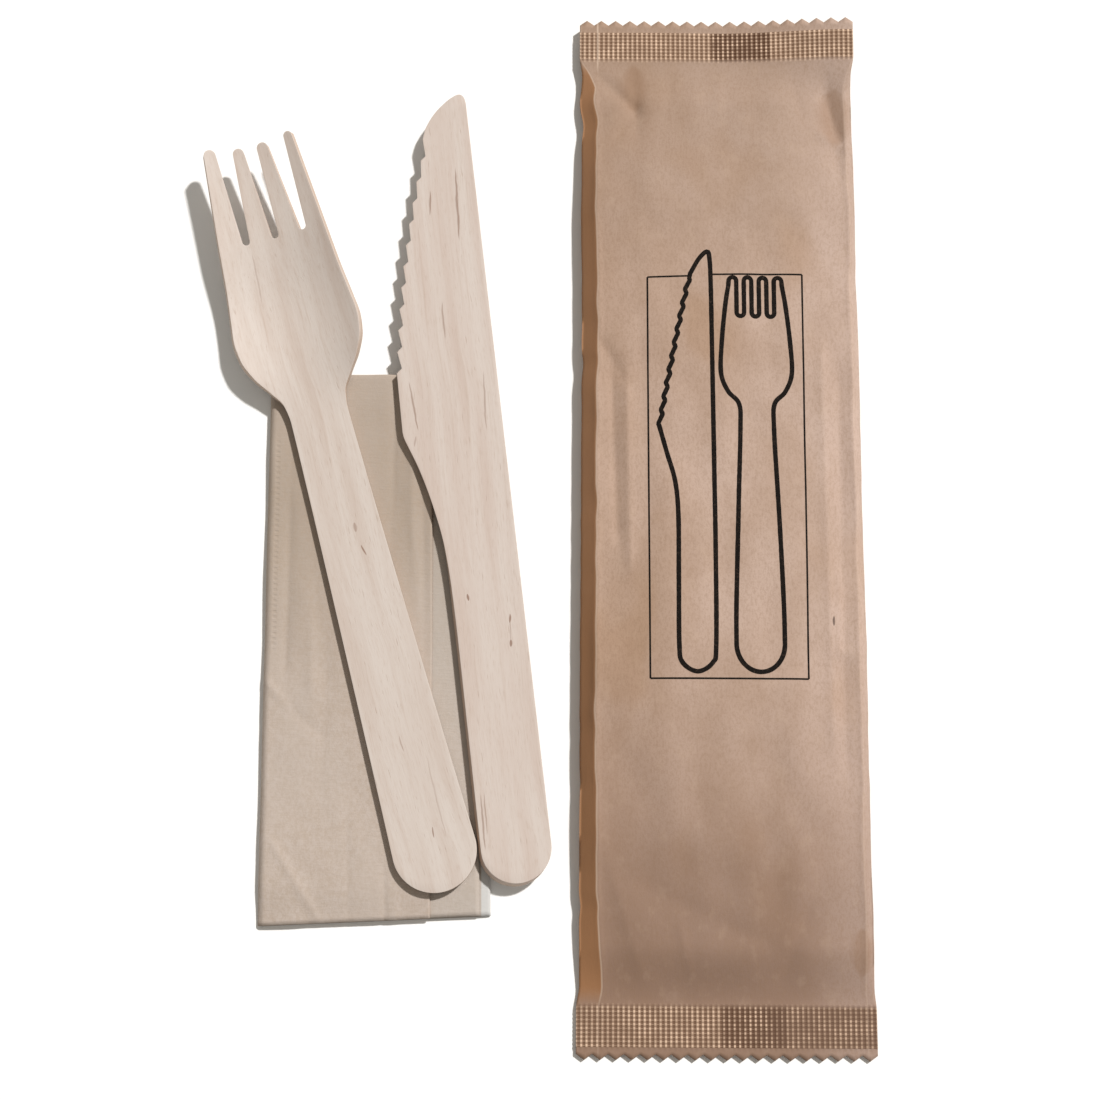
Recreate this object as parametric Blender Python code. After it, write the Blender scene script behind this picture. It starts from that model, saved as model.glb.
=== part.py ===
"""Wooden cutlery pack: a birch fork and knife on a folded tissue napkin, beside the same set sealed in a
paper flow wrap.

Metres, +Z up. Everything lies on z = 0 with its long side along Y, and the whole layout is centred on the
origin. The fork, the knife and the napkin are loose. The wrapped set is closed all round, so it is one solid.
"""

import math

import bmesh
import bpy
import numpy as np
from mathutils import Matrix

# Where each thing lies: x and y of its own origin, and how far it is turned anticlockwise.
FORK_PLACE = (-0.01525, -0.07625, math.radians(16.0))
KNIFE_PLACE = (-0.00075, -0.0746, math.radians(7.05))
NAPKIN_PLACE = (-0.0520, -0.0831, math.radians(0.7))
WRAP_PLACE = (0.0392, -0.1078, 0.0)
REST_GAP = 0.0003  # between the napkin and what lies on it

# Birch veneer that the fork and the knife are cut from.
VENEER = 0.0015
CUT_EDGE_BREAK = 0.00018

# Fork: v runs from the end of the handle to the tips, u across.
FORK_LENGTH = 0.1600
FORK_END_RADIUS = 0.0082
FORK_HALF_WIDTHS = (  # (v, half of the width there)
    (0.0082, 0.00825), (0.023, 0.0078), (0.043, 0.00725), (0.066, 0.00665), (0.088, 0.00615),
    (0.099, 0.00597), (0.103, 0.0065), (0.1065, 0.0087), (0.110, 0.0113), (0.114, 0.01305),
    (0.118, 0.01352), (0.122, 0.01315), (0.130, 0.01225), (0.1395, 0.01145), (0.150, 0.0104),
    (0.158, 0.00965),
)
FORK_HANDLE_STATIONS = (0.0145, 0.023, 0.043, 0.066, 0.088, 0.095)
FORK_HEAD_STATIONS = (
    0.099, 0.101, 0.103, 0.105, 0.107, 0.109, 0.1115, 0.114, 0.117, 0.1205, 0.1245, 0.129, 0.1335,
)
TINE_ROOT = 0.1392  # where the tines part
TINE_ROOT_GAP = 0.0016
GAP_MIDDLES = (-0.0056, 0.0008, 0.0070)
TINE_TIPS = (  # (u of its middle, width, how much shorter than the fork)
    (-0.0084, 0.0025, 0.0), (-0.00235, 0.0024, 0.001), (0.0030, 0.0024, 0.0011), (0.0090, 0.0018, 0.0007),
)
TINE_STATIONS = 6
TINE_COLUMNS = 4  # faces across one tine, and across one gap's round root
DISH_RADIUS, HEAD_TILT = 0.034, 0.05  # across the head, which leans down to the left
DISH_START, DISH_FULL = 0.097, 0.112
BOWL_START, BOWL_END, BOWL_DIP = 0.108, 0.142, 0.0009  # the bowl hangs below the handle
RISE_START, TIP_RISE, RISE_POWER = 0.110, 0.0033, 1.25

# Knife: u across with the spine on the right, v from the end of the handle to the tip.
KNIFE_HALF_HANDLE = 0.0069
KNIFE_LEFT_EDGE = (  # (v, u) from the handle to the heel
    (0.0069, -0.0069), (0.030, -0.0069), (0.048, -0.0069), (0.060, -0.0071), (0.068, -0.0076),
    (0.0765, -0.0090), (0.0845, -0.0110), (0.0905, -0.0131),
)
KNIFE_HEEL = ((0.0915, -0.01345), (0.0927, -0.0136))
TEETH = 11
FIRST_TOOTH, LAST_TOOTH = 0.1053, 0.1510
TOOTH_DEPTH, TOOTH_JOG = 0.0011, 0.00095
EDGE_BEND = (-0.0135, 0.00492, 0.00468)  # u of the tooth tips, as a parabola from the first to the last
POINT_START = (0.1558, -0.0030)  # where the last tooth ends and the curve to the tip begins
POINT_CURVE = ((0.1582, -0.0021), (0.1604, -0.00065), (0.1622, 0.0010), (0.1639, 0.0031))
POINT_TIP = ((0.16475, 0.0046), (0.1650, 0.0055), (0.1648, 0.0062), (0.1640, 0.0067), (0.1628, 0.0069))
KNIFE_COLUMNS = 8
CUT_SLANT = (-0.0005, -0.0005)  # the handle's cut leans, so its underside lies this far from its upper face
SLANT_FULL, SLANT_NONE = 0.052, 0.074

# Folded napkin: x across, y along.
NAPKIN_WIDTH, NAPKIN_LENGTH = 0.0454, 0.1112
NEAR_EDGE_SKEW = 0.0017  # the near edge runs this much further up on the right
NAPKIN_THICKNESS = 0.0021
LOWER_LEAVES = 0.00095  # thickness of the leaves that reach out furthest on the right
UPPER_LEAVES_SHORTER = 0.0022
TOP_LEAF_EDGE, TOP_LEAF_STEP = 0.0332, 0.00015
FOLD_STEPS = 6

# Sealed flow wrap: x across its middle, y from the lower seal to the upper one.
WRAP_LENGTH, SEAL_WIDTH, BODY_WIDTH = 0.2156, 0.0580, 0.0570
LOWER_SEAL, UPPER_SEAL, SEAL_THICKNESS = 0.0098, 0.0087, 0.0005
LOWER_SEAL_HEIGHT, UPPER_SEAL_HEIGHT = 0.0007, 0.0021  # middle of each seal above the ground
SEAL_TEETH, SEAL_TOOTH_DEPTH = 19, 0.0011
SHOULDER = 0.0120  # from a seal to the full height of the body
SIDE_EDGE = (0.0026, 0.0030)  # lower and upper height of the body's side edge
LEFT_FLANK, RIGHT_FLANK, FLANK_HEIGHT = 0.0030, 0.0015, 0.0056
CROWN_HEIGHT, CROWN_REACH = 0.0070, 0.016  # and how far in from the flanks the crown is reached
UNDER_TUCK = 0.0060
FIN_LEFT, FIN_RIGHT, FIN_THICKNESS = -0.0009, 0.0115, 0.00025  # back seal, folded flat underneath
UPPER_CORNER_CURL = 0.0020
BODY_STATIONS = 9
SHOULDER_STATIONS = 5

WOOD = ("birch", (0.66, 0.55, 0.46), 0.62)
TISSUE = ("tissue", (0.50, 0.40, 0.31), 0.92)
KRAFT = ("kraft_paper", (0.42, 0.29, 0.20), 0.78)


def smooth_step(value):
    value = np.clip(value, 0.0, 1.0)
    return value * value * (3.0 - 2.0 * value)


def curve_through(points, at):
    """Height at `at` of a smooth curve through (place, height) points, which never overshoots them."""
    place, height = np.array(points).T
    slope = np.diff(height) / np.diff(place)
    tangent = np.zeros(len(place))
    before, after = slope[:-1], slope[1:]
    one_way = before * after > 0
    tangent[1:-1] = np.where(one_way, 2 * before * after / np.where(one_way, before + after, 1), 0)
    tangent[0], tangent[-1] = slope[0], slope[-1]
    step = int(np.clip(np.searchsorted(place, at) - 1, 0, len(slope) - 1))
    width = place[step + 1] - place[step]
    t = min(max((at - place[step]) / width, 0.0), 1.0)
    return (
        (1 + 2 * t) * (1 - t) ** 2 * height[step]
        + t * (1 - t) ** 2 * width * tangent[step]
        + t * t * (3 - 2 * t) * height[step + 1]
        - t * t * (1 - t) * width * tangent[step + 1]
    )


def make_material(name, colour, roughness):
    material = bpy.data.materials.new(name)
    material.use_nodes = True
    shader = material.node_tree.nodes["Principled BSDF"]
    shader.inputs["Base Color"].default_value = (*colour, 1)
    shader.inputs["Roughness"].default_value = roughness
    shader.inputs["Metallic"].default_value = 0
    return material


def add_object(name, mesh_builder, look, place, height):
    """A named object of the bmesh, lying at its place with its underside at the height given."""
    mesh = bpy.data.meshes.new(name)
    mesh_builder.to_mesh(mesh)
    mesh_builder.free()
    mesh.materials.append(make_material(name + "_" + look[0], *look[1:]))
    piece = bpy.data.objects.new(name, mesh)
    piece.matrix_world = Matrix.Translation((place[0], place[1], height)) @ Matrix.Rotation(place[2], 4, "Z")
    bpy.context.scene.collection.objects.link(piece)
    return piece


def add_faces_between(builder, rows):
    """Joins neighbouring rows of vertices, all of one length, with four-sided faces."""
    for lower, upper in zip(rows, rows[1:]):
        for i in range(len(lower) - 1):
            builder.faces.new((lower[i], lower[i + 1], upper[i + 1], upper[i]))


def add_skins(builder, upper, lower):
    """A closed body between two grids of points, (row, column, xyz), that match each other."""
    upper, lower = ([[builder.verts.new(point) for point in row] for row in grid] for grid in (upper, lower))
    add_faces_between(builder, upper)
    add_faces_between(builder, [row[::-1] for row in lower])
    rims = [
        [grid[0], [row[-1] for row in grid], grid[-1][::-1], [row[0] for row in grid][::-1]]
        for grid in (upper, lower)
    ]
    for side_upper, side_lower in zip(*rims):
        add_faces_between(builder, [side_lower, side_upper])
    bmesh.ops.recalc_face_normals(builder, faces=builder.faces)


def break_cut_edges(piece):
    edges = piece.modifiers.new("broken_edges", "BEVEL")
    edges.width = CUT_EDGE_BREAK
    edges.segments = 1
    edges.limit_method = "ANGLE"
    edges.angle_limit = math.radians(50)


# Fork: one veneer blank, cut flat and hot-pressed into a dished head with raised tines.


def fork_height(u, v):
    """The pressed blank's underside, above the underside of the handle."""
    head = smooth_step((v - DISH_START) / (DISH_FULL - DISH_START))
    across = head * (u * u / (2 * DISH_RADIUS) + HEAD_TILT * u)
    dip = BOWL_DIP * np.sin(math.pi * np.clip((v - BOWL_START) / (BOWL_END - BOWL_START), 0, 1)) ** 2
    rise = TIP_RISE * np.clip((v - RISE_START) / (FORK_LENGTH - RISE_START), 0, 1) ** RISE_POWER
    return across - dip + rise


def round_row(left, right, depth, columns):
    """Points of a half ellipse that bulges by `depth` from the line between two points of one height."""
    middle, half = (left[0] + right[0]) / 2, (right[0] - left[0]) / 2
    angles = np.linspace(math.pi, 0, columns + 1)
    return [(middle + half * math.cos(a), left[1] + depth * math.sin(a)) for a in angles]


def fork_rows():
    """Rows of the blank from the handle's round end to the tines' roots, and the four tines' own rows."""
    root_half = curve_through(FORK_HALF_WIDTHS, TINE_ROOT)
    edges = [-root_half]
    for middle in GAP_MIDDLES:
        edges += [middle - TINE_ROOT_GAP / 2, middle + TINE_ROOT_GAP / 2]
    edges.append(root_half)

    root_row = []
    for i, (left, right) in enumerate(zip(edges, edges[1:])):
        depth = -TINE_ROOT_GAP / 2 if i % 2 else 0.0
        if i % 2:
            stretch = round_row((left, TINE_ROOT), (right, TINE_ROOT), depth, TINE_COLUMNS)
        else:
            stretch = [(u, TINE_ROOT) for u in np.linspace(left, right, TINE_COLUMNS + 1)]
        root_row += stretch if not root_row else stretch[1:]

    fractions = [u / root_half for u, v in root_row]
    end_half = FORK_HALF_WIDTHS[0][1]
    corner = FORK_HALF_WIDTHS[0][0]
    rows = [round_row((-end_half, corner), (end_half, corner), -FORK_END_RADIUS, len(fractions) - 1)]
    for v in FORK_HANDLE_STATIONS + FORK_HEAD_STATIONS:
        half = curve_through(FORK_HALF_WIDTHS, v)
        rows.append([(half * f, v) for f in fractions])
    rows.append(root_row)

    tines = []
    for i, (tip, width, shorter) in enumerate(TINE_TIPS):
        left, right = edges[2 * i], edges[2 * i + 1]
        end = FORK_LENGTH - shorter - width / 2
        tine = []
        for t in np.linspace(0, 1, TINE_STATIONS)[1:]:
            v = TINE_ROOT + (end - TINE_ROOT) * t
            from_u = left + (tip - width / 2 - left) * t
            to_u = right + (tip + width / 2 - right) * t
            tine.append([(u, v) for u in np.linspace(from_u, to_u, TINE_COLUMNS + 1)])
        ends = tine[-1]
        tine[-1] = round_row(ends[0], ends[-1], width / 2, TINE_COLUMNS)
        tines.append(tine)
    return rows, tines


def make_fork():
    builder = bmesh.new()
    rows, tines = fork_rows()

    def vertices(row):
        return [builder.verts.new((u, v, fork_height(u, v))) for u, v in row]

    body = [vertices(row) for row in rows]
    add_faces_between(builder, body)
    for i, tine in enumerate(tines):
        first = 2 * i * TINE_COLUMNS
        root = body[-1][first : first + TINE_COLUMNS + 1]
        add_faces_between(builder, [root] + [vertices(row) for row in tine])
    fork = add_object("wooden_fork", builder, WOOD, FORK_PLACE, NAPKIN_THICKNESS + REST_GAP)
    thickness = fork.modifiers.new("thickness", "SOLIDIFY")
    thickness.thickness = VENEER
    thickness.offset = 1
    thickness.use_even_offset = True
    break_cut_edges(fork)


# Knife: one flat veneer blank with a toothed edge.


def knife_rows():
    """Rows of the upper face's (u, v), from the handle's round end to the tip."""
    spine = KNIFE_HALF_HANDLE
    edge = list(KNIFE_LEFT_EDGE[1:] + KNIFE_HEEL)
    pitch = (LAST_TOOTH - FIRST_TOOTH) / (TEETH - 1)
    for tooth in range(TEETH):
        share = tooth / (TEETH - 1)
        tip = EDGE_BEND[0] + EDGE_BEND[1] * share + EDGE_BEND[2] * share**2
        v = FIRST_TOOTH + tooth * pitch
        edge += [(v, tip), (v + TOOTH_JOG, tip + TOOTH_DEPTH)]
    edge += [POINT_START, *POINT_CURVE[:-1]]

    angles = np.linspace(math.pi, 2 * math.pi, KNIFE_COLUMNS + 1)
    rows = [[(spine * math.cos(a), spine * (1 + math.sin(a))) for a in angles]]
    rows += [[(u, v) for u in np.linspace(left, spine, KNIFE_COLUMNS + 1)] for v, left in edge]
    v, u = np.array([POINT_CURVE[-1], *POINT_TIP]).T
    at = np.linspace(0, len(u) - 1, KNIFE_COLUMNS + 1)
    known = np.arange(len(u))
    rows.append(list(zip(np.interp(at, known, u), np.interp(at, known, v))))
    return np.array(rows)


def make_knife():
    face = knife_rows()
    leaning = 1 - smooth_step((face[..., 1:] - SLANT_FULL) / (SLANT_NONE - SLANT_FULL))
    under = face + leaning * np.array(CUT_SLANT)
    height = np.zeros(face.shape[:2] + (1,))
    builder = bmesh.new()
    add_skins(
        builder,
        np.concatenate([face, height + VENEER], axis=-1),
        np.concatenate([under, height], axis=-1),
    )
    knife = add_object("wooden_knife", builder, WOOD, KNIFE_PLACE, NAPKIN_THICKNESS + REST_GAP)
    break_cut_edges(knife)


# Napkin: one tissue sheet folded into a flat pad, with round folds on the left and open leaves on the right.


def fold_arc(bottom, top):
    """Points down a round fold on the left, from its top to its bottom."""
    radius = (top - bottom) / 2
    angles = np.linspace(math.pi / 2, 3 * math.pi / 2, FOLD_STEPS + 1)
    return [(radius + radius * math.cos(a), bottom + radius + radius * math.sin(a)) for a in angles]


def make_napkin():
    leaf_round = 0.00025
    upper_right = NAPKIN_WIDTH - UPPER_LEAVES_SHORTER
    shelf = NAPKIN_THICKNESS - TOP_LEAF_STEP
    groove = 0.0001
    profile = [
        (NAPKIN_WIDTH - leaf_round, 0),
        (NAPKIN_WIDTH, leaf_round),
        (NAPKIN_WIDTH, LOWER_LEAVES - leaf_round),
        (NAPKIN_WIDTH - leaf_round, LOWER_LEAVES),
        (upper_right - 2 * leaf_round, LOWER_LEAVES),
        (upper_right - 2 * leaf_round, LOWER_LEAVES + groove),
        (upper_right, LOWER_LEAVES + groove + leaf_round),
        (upper_right, shelf - leaf_round),
        (upper_right - leaf_round, shelf),
        (TOP_LEAF_EDGE, shelf),
        (TOP_LEAF_EDGE - leaf_round, NAPKIN_THICKNESS),
    ]
    profile += fold_arc(LOWER_LEAVES + groove, NAPKIN_THICKNESS)
    profile += fold_arc(0, LOWER_LEAVES)
    builder = bmesh.new()
    cap = builder.faces.new([builder.verts.new((x, 0, z)) for x, z in profile])
    grown = bmesh.ops.extrude_face_region(builder, geom=[cap], use_keep_orig=True)
    moved = [part for part in grown["geom"] if isinstance(part, bmesh.types.BMVert)]
    bmesh.ops.translate(builder, vec=(0, NAPKIN_LENGTH, 0), verts=moved)
    for corner in cap.verts:
        corner.co.y = NEAR_EDGE_SKEW * corner.co.x / NAPKIN_WIDTH
    bmesh.ops.recalc_face_normals(builder, faces=builder.faces)
    add_object("paper_napkin", builder, TISSUE, NAPKIN_PLACE, 0)


# Sealed wrap: a paper tube round a napkin, fork and knife, with a toothed heat seal across each end and
# its back seal folded flat underneath.


def wrap_columns():
    teeth = np.linspace(-1, 1, 2 * SEAL_TEETH + 1)
    step = 0.0001
    fin = np.array([FIN_LEFT - step, FIN_LEFT, FIN_RIGHT, FIN_RIGHT + step]) / (SEAL_WIDTH / 2)
    return np.sort(np.concatenate([teeth, fin]))


def wrap_stations():
    shoulder = SHOULDER * np.linspace(0, 1, SHOULDER_STATIONS + 1) ** 1.3
    lower = LOWER_SEAL + shoulder
    upper = (WRAP_LENGTH - UPPER_SEAL - shoulder)[::-1]
    middle = np.linspace(lower[-1], upper[0], BODY_STATIONS + 2)[1:-1]
    return np.concatenate([[0], lower, middle, upper, [WRAP_LENGTH]])


def wrap_surfaces():
    """Places of the wrap's upper and lower skins, as (station, column, xyz)."""
    across, along = np.meshgrid(wrap_columns(), wrap_stations())
    from_seal = np.minimum(along - LOWER_SEAL, WRAP_LENGTH - UPPER_SEAL - along)
    body = smooth_step(from_seal / SHOULDER)
    half = (SEAL_WIDTH + (BODY_WIDTH - SEAL_WIDTH) * body) / 2
    x = across * half
    inward = half - np.abs(x)

    flank_width = np.where(across < 0, LEFT_FLANK, RIGHT_FLANK)
    flank = SIDE_EDGE[1] + (FLANK_HEIGHT - SIDE_EDGE[1]) * np.clip(inward / flank_width, 0, 1)
    crown = (CROWN_HEIGHT - FLANK_HEIGHT) * smooth_step((inward - flank_width) / CROWN_REACH)
    tuck = SIDE_EDGE[0] * (1 - smooth_step(inward / UNDER_TUCK))
    in_fin = (x > FIN_LEFT - 1e-6) & (x < FIN_RIGHT + 1e-6)
    seal_half = SEAL_THICKNESS / 2 + np.where(in_fin, FIN_THICKNESS / 2, 0)
    towards_upper_end = smooth_step((along - WRAP_LENGTH / 2) / (WRAP_LENGTH / 2))
    curl = UPPER_CORNER_CURL * smooth_step(across) * towards_upper_end**4

    seal = curl + np.where(along < WRAP_LENGTH / 2, LOWER_SEAL_HEIGHT, UPPER_SEAL_HEIGHT)

    top = (1 - body) * (seal + seal_half) + body * (flank + crown)
    underside = tuck + np.where(in_fin, 0, FIN_THICKNESS)
    bottom = (1 - body) * (seal - seal_half) + body * underside
    teeth = SEAL_TOOTH_DEPTH * np.abs((across + 1) * SEAL_TEETH % 2 - 1)
    y = along + np.where(along == 0, teeth, 0) - np.where(along == WRAP_LENGTH, teeth, 0)
    return np.stack([x, y, top], axis=-1), np.stack([x, y, bottom], axis=-1)


def make_wrap():
    builder = bmesh.new()
    add_skins(builder, *wrap_surfaces())
    add_object("sealed_wrap", builder, KRAFT, WRAP_PLACE, 0)


for old in list(bpy.data.objects):
    bpy.data.objects.remove(old, do_unlink=True)
make_napkin()
make_fork()
make_knife()
make_wrap()
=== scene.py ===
"""A wooden cutlery pack: birch fork and knife on a folded tissue napkin, beside the same set in a paper wrap.

Metres, +Z up, everything lying on z = 0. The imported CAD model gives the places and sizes; each piece is
remade here as a finer surface and takes the place of its CAD node.
"""

import math

import bpy
import numpy as np
from mathutils import Matrix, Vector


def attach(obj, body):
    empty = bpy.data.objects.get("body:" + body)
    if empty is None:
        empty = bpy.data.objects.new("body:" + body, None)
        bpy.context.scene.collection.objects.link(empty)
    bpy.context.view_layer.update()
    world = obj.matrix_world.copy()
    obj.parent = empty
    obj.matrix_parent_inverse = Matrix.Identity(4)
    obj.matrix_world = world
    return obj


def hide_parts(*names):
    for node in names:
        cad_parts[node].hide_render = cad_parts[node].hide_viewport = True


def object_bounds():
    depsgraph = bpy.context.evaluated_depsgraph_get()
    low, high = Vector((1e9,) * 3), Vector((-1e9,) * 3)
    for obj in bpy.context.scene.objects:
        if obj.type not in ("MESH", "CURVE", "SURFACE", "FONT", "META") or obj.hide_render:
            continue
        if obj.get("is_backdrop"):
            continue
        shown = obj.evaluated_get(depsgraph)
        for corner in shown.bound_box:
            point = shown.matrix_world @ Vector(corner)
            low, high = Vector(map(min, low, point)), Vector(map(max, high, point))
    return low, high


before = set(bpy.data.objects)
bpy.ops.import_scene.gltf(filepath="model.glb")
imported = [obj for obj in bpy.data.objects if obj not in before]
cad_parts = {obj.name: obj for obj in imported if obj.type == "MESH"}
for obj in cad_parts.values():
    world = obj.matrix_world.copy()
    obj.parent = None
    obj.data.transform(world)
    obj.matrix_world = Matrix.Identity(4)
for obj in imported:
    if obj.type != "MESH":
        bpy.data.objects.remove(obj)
cad_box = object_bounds()


# Napkin: one unbleached tissue, folded once along its length and then in four across, so it lies as eight
# plies with round folds on the left. The upper leaves stop short of the lower ones on the right. The tissue
# is creped and soft, with a row of pressed dots near the left fold.

NAPKIN_PLACE = (-0.0520, -0.0831, math.radians(0.7))
NAPKIN_LENGTH, NEAR_EDGE_SKEW = 0.1112, 0.0017
PLY, PLY_PITCH = 0.00010, 0.00027
LEAF_HEIGHTS = (0.00010, 0.00072, 0.00134, 0.00196)  # lower ply of each doubled leaf
LEAF_ENDS = (0.0454, 0.0454, 0.0434, 0.0337)
LEAF_SHIFTS = (0.0, 0.00012, 0.0002, 0.00008)  # how far each leaf's near edge lies from the lowest one's
OUTER_FOLD, INNER_FOLD = 0.0013, 0.0019
FOLD_SLOPE = (0.0014, 0.22)  # width of the slope down to the folded edge, and the share of height it loses
NEAR_SLOPE = (0.0080, 0.32)  # the same for the near edge, where the leaves lie closer together
TOP_LEAF_COLUMNS, INNER_COLUMNS, FOLD_COLUMNS = 76, 15, 6
NAPKIN_ROWS, END_FOLD_ROWS = 120, 3
FORK_PLACE = (-0.01525, -0.07625, math.radians(16.0))
KNIFE_PLACE = (-0.00075, -0.0746, math.radians(7.05))
BEAD_LINE, BEAD_PITCH = (0.0022, 0.052, 0.100), 0.0011  # x, and y from and to, of the row of pressed dots


def turned(points, place):
    """Points moved from a piece's own axes to where it lies: turned by the place's angle, then shifted."""
    cosine, sine = math.cos(place[2]), math.sin(place[2])
    x, y, z = np.moveaxis(points, -1, 0)
    return np.stack([place[0] + cosine * x - sine * y, place[1] + sine * x + cosine * y, z], axis=-1)


def smooth_step(value):
    """0 below 0, 1 above 1, and 3v^2 - 2v^3 between."""
    value = np.clip(value, 0.0, 1.0)
    return value * value * (3.0 - 2.0 * value)


def soft_noise(x, y, pitch, seed):
    """Smooth random height from -1 to 1: random numbers on a square lattice, blended by the smooth step."""
    lattice = np.random.default_rng(seed).uniform(-1, 1, (129, 129))
    column, row = x / pitch + 50, y / pitch + 50
    i, j = np.floor(column).astype(int), np.floor(row).astype(int)
    s, t = smooth_step(column - i), smooth_step(row - j)
    i, j = i % 128, j % 128
    lower = lattice[j, i] * (1 - s) + lattice[j, i + 1] * s
    upper = lattice[j + 1, i] * (1 - s) + lattice[j + 1, i + 1] * s
    return lower * (1 - t) + upper * t


def crease(x, y, start, end, width, height):
    """A straight fold: height times e^-(distance to the line / width), fading past its two ends."""
    dx, dy = end[0] - start[0], end[1] - start[1]
    length = math.hypot(dx, dy)
    along = ((x - start[0]) * dx + (y - start[1]) * dy) / length
    off = np.abs((x - start[0]) * dy - (y - start[1]) * dx) / length
    beyond = np.maximum(np.maximum(-along, along - length), 0)
    return height * np.exp(-np.sqrt((off / width) ** 2 + 0.04) + 0.2 - (beyond / (3 * width)) ** 2)


def grid_faces(rows, columns, first=0):
    """Four-sided faces of a grid of points, row by row, facing up where rows run +y and columns +x."""
    corner = first + (np.arange(rows - 1)[:, None] * columns + np.arange(columns - 1)).reshape(-1)
    return np.stack([corner, corner + 1, corner + columns + 1, corner + columns], axis=-1)


def new_object(name, data):
    """An object of the data, linked to the scene."""
    made = bpy.data.objects.new(name, data)
    bpy.context.scene.collection.objects.link(made)
    return made


def make_piece(name, points, faces, node):
    """A smooth-shaded piece of the points and faces, riding on the root and standing for its CAD node."""
    mesh = bpy.data.meshes.new(name)
    mesh.from_pydata(np.reshape(points, (-1, 3)).tolist(), [], [tuple(face) for face in faces])
    mesh.polygons.foreach_set("use_smooth", np.ones(len(mesh.polygons), bool))
    mesh.update()
    piece = new_object(name, mesh)
    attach(piece, "root")
    if node:
        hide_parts(node)
    return piece


def round_fold(side, from_height, to_height, bulge):
    """Half a circle between two heights at x = side, bulging towards +x or -x by its own radius."""
    angle = np.linspace(-math.pi / 2, math.pi / 2, FOLD_COLUMNS + 2)[1:-1]
    middle, radius = (from_height + to_height) / 2, (to_height - from_height) / 2
    return side + bulge * abs(radius) * np.cos(angle), middle + radius * np.sin(angle)


def napkin_section(offset):
    """x, z and leaf shift along one ply: the top, lowest, second and third leaf with their folds."""
    lowest, second, third, top = LEAF_HEIGHTS
    lowest, third = lowest + offset, third + offset
    second, top = second + PLY_PITCH - offset, top + PLY_PITCH - offset
    right = LEAF_ENDS[0] - (second - lowest) / 2
    leaves = (
        (np.linspace(LEAF_ENDS[3], OUTER_FOLD, TOP_LEAF_COLUMNS), top, LEAF_SHIFTS[3]),
        (np.linspace(OUTER_FOLD, right, INNER_COLUMNS * 2), lowest, LEAF_SHIFTS[0]),
        (np.linspace(right, INNER_FOLD, INNER_COLUMNS), second, LEAF_SHIFTS[1]),
        (np.linspace(INNER_FOLD, LEAF_ENDS[2], INNER_COLUMNS * 3), third, LEAF_SHIFTS[2]),
    )
    folds = (
        round_fold(OUTER_FOLD, top, lowest, -1),
        round_fold(right, lowest, second, 1),
        round_fold(INNER_FOLD, second, third, -1),
    )
    x, z, shift = [], [], []
    for i, (run, height, leaf_shift) in enumerate(leaves):
        x.append(run)
        z.append(np.full(len(run), height))
        shift.append(np.full(len(run), leaf_shift))
        if i < len(folds):
            x.append(folds[i][0])
            z.append(folds[i][1])
            shift.append(np.linspace(leaf_shift, leaves[i + 1][2], FOLD_COLUMNS))
    return np.concatenate(x), np.concatenate(z), np.concatenate(shift)


def distance_from_line(x, y, place):
    """Distance of napkin points from the long axis of a tool lying at the place."""
    world = turned(np.stack([x, y, np.zeros_like(x)], axis=-1), NAPKIN_PLACE)
    dx, dy = world[..., 0] - place[0], world[..., 1] - place[1]
    return np.abs(dx * math.cos(place[2]) + dy * math.sin(place[2]))


def napkin_relief(x, y):
    """Height of the top leaf's soft folds: long and short creases, folded corners and a soft crumple."""
    relief = 0.00016 * soft_noise(x, y * 0.45, 0.0062, 3) + 0.00007 * soft_noise(x, y * 0.6, 0.0026, 4)
    for start, end, width, height in (
        ((0.0052, 0.111), (0.0046, 0.052), 0.0011, -0.00032),
        ((0.0090, 0.108), (0.0098, 0.048), 0.0016, 0.00024),
        ((0.0132, 0.070), (0.0124, 0.028), 0.0018, -0.00016),
        ((0.0262, 0.112), (0.0252, 0.070), 0.0011, -0.00034),
        ((0.0292, 0.112), (0.0300, 0.060), 0.0012, 0.00030),
        ((0.0318, 0.100), (0.0322, 0.050), 0.0009, -0.00024),
        ((0.0006, 0.0480), (0.0048, 0.0432), 0.0005, 0.00030),
        ((0.0048, 0.0432), (0.0110, 0.0380), 0.0008, -0.00016),
        ((0.0034, 0.0150), (0.0112, 0.0026), 0.0007, 0.00026),
        ((0.0250, 0.0010), (0.0248, 0.0110), 0.0005, -0.00022),
        ((0.0272, 0.0010), (0.0272, 0.0090), 0.0005, 0.00016),
        ((0.0180, 0.0010), (0.0174, 0.0180), 0.0010, -0.00014),
    ):
        relief = relief + crease(x, y, start, end, width, height)
    clear = np.minimum(distance_from_line(x, y, FORK_PLACE), distance_from_line(x, y, KNIFE_PLACE))
    free = smooth_step((clear - 0.0085) / 0.004)
    return np.where(relief > 0, relief * free, relief * (0.35 + 0.65 * free))


def napkin_ply(offset, rows):
    """Points of one ply, row by row: its section carried along y, the near edge askew, the relief on."""
    x, z, shift = napkin_section(offset)
    t = np.linspace(0, 1, rows)[:, None]
    near = NEAR_EDGE_SKEW * x / LEAF_ENDS[0] + shift
    y = near + (NAPKIN_LENGTH - 0.6 * shift - near) * t
    drift = 0.00016 * soft_noise(y * 0.0, y, 0.017, 5) * smooth_step(x / 0.02)
    drift = drift + 0.0001 * soft_noise(y, z * 40, 0.02, 6)
    x = x + drift
    top = LEAF_HEIGHTS[3] + PLY_PITCH
    slope = FOLD_SLOPE[1] * (1 - smooth_step(x / FOLD_SLOPE[0]))
    slope = slope + NEAR_SLOPE[1] * (1 - smooth_step(y / NEAR_SLOPE[0]))
    z = z * (1 - slope + napkin_relief(x, y) / top) + 0 * y
    return np.stack([x, y, z], axis=-1)


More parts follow.
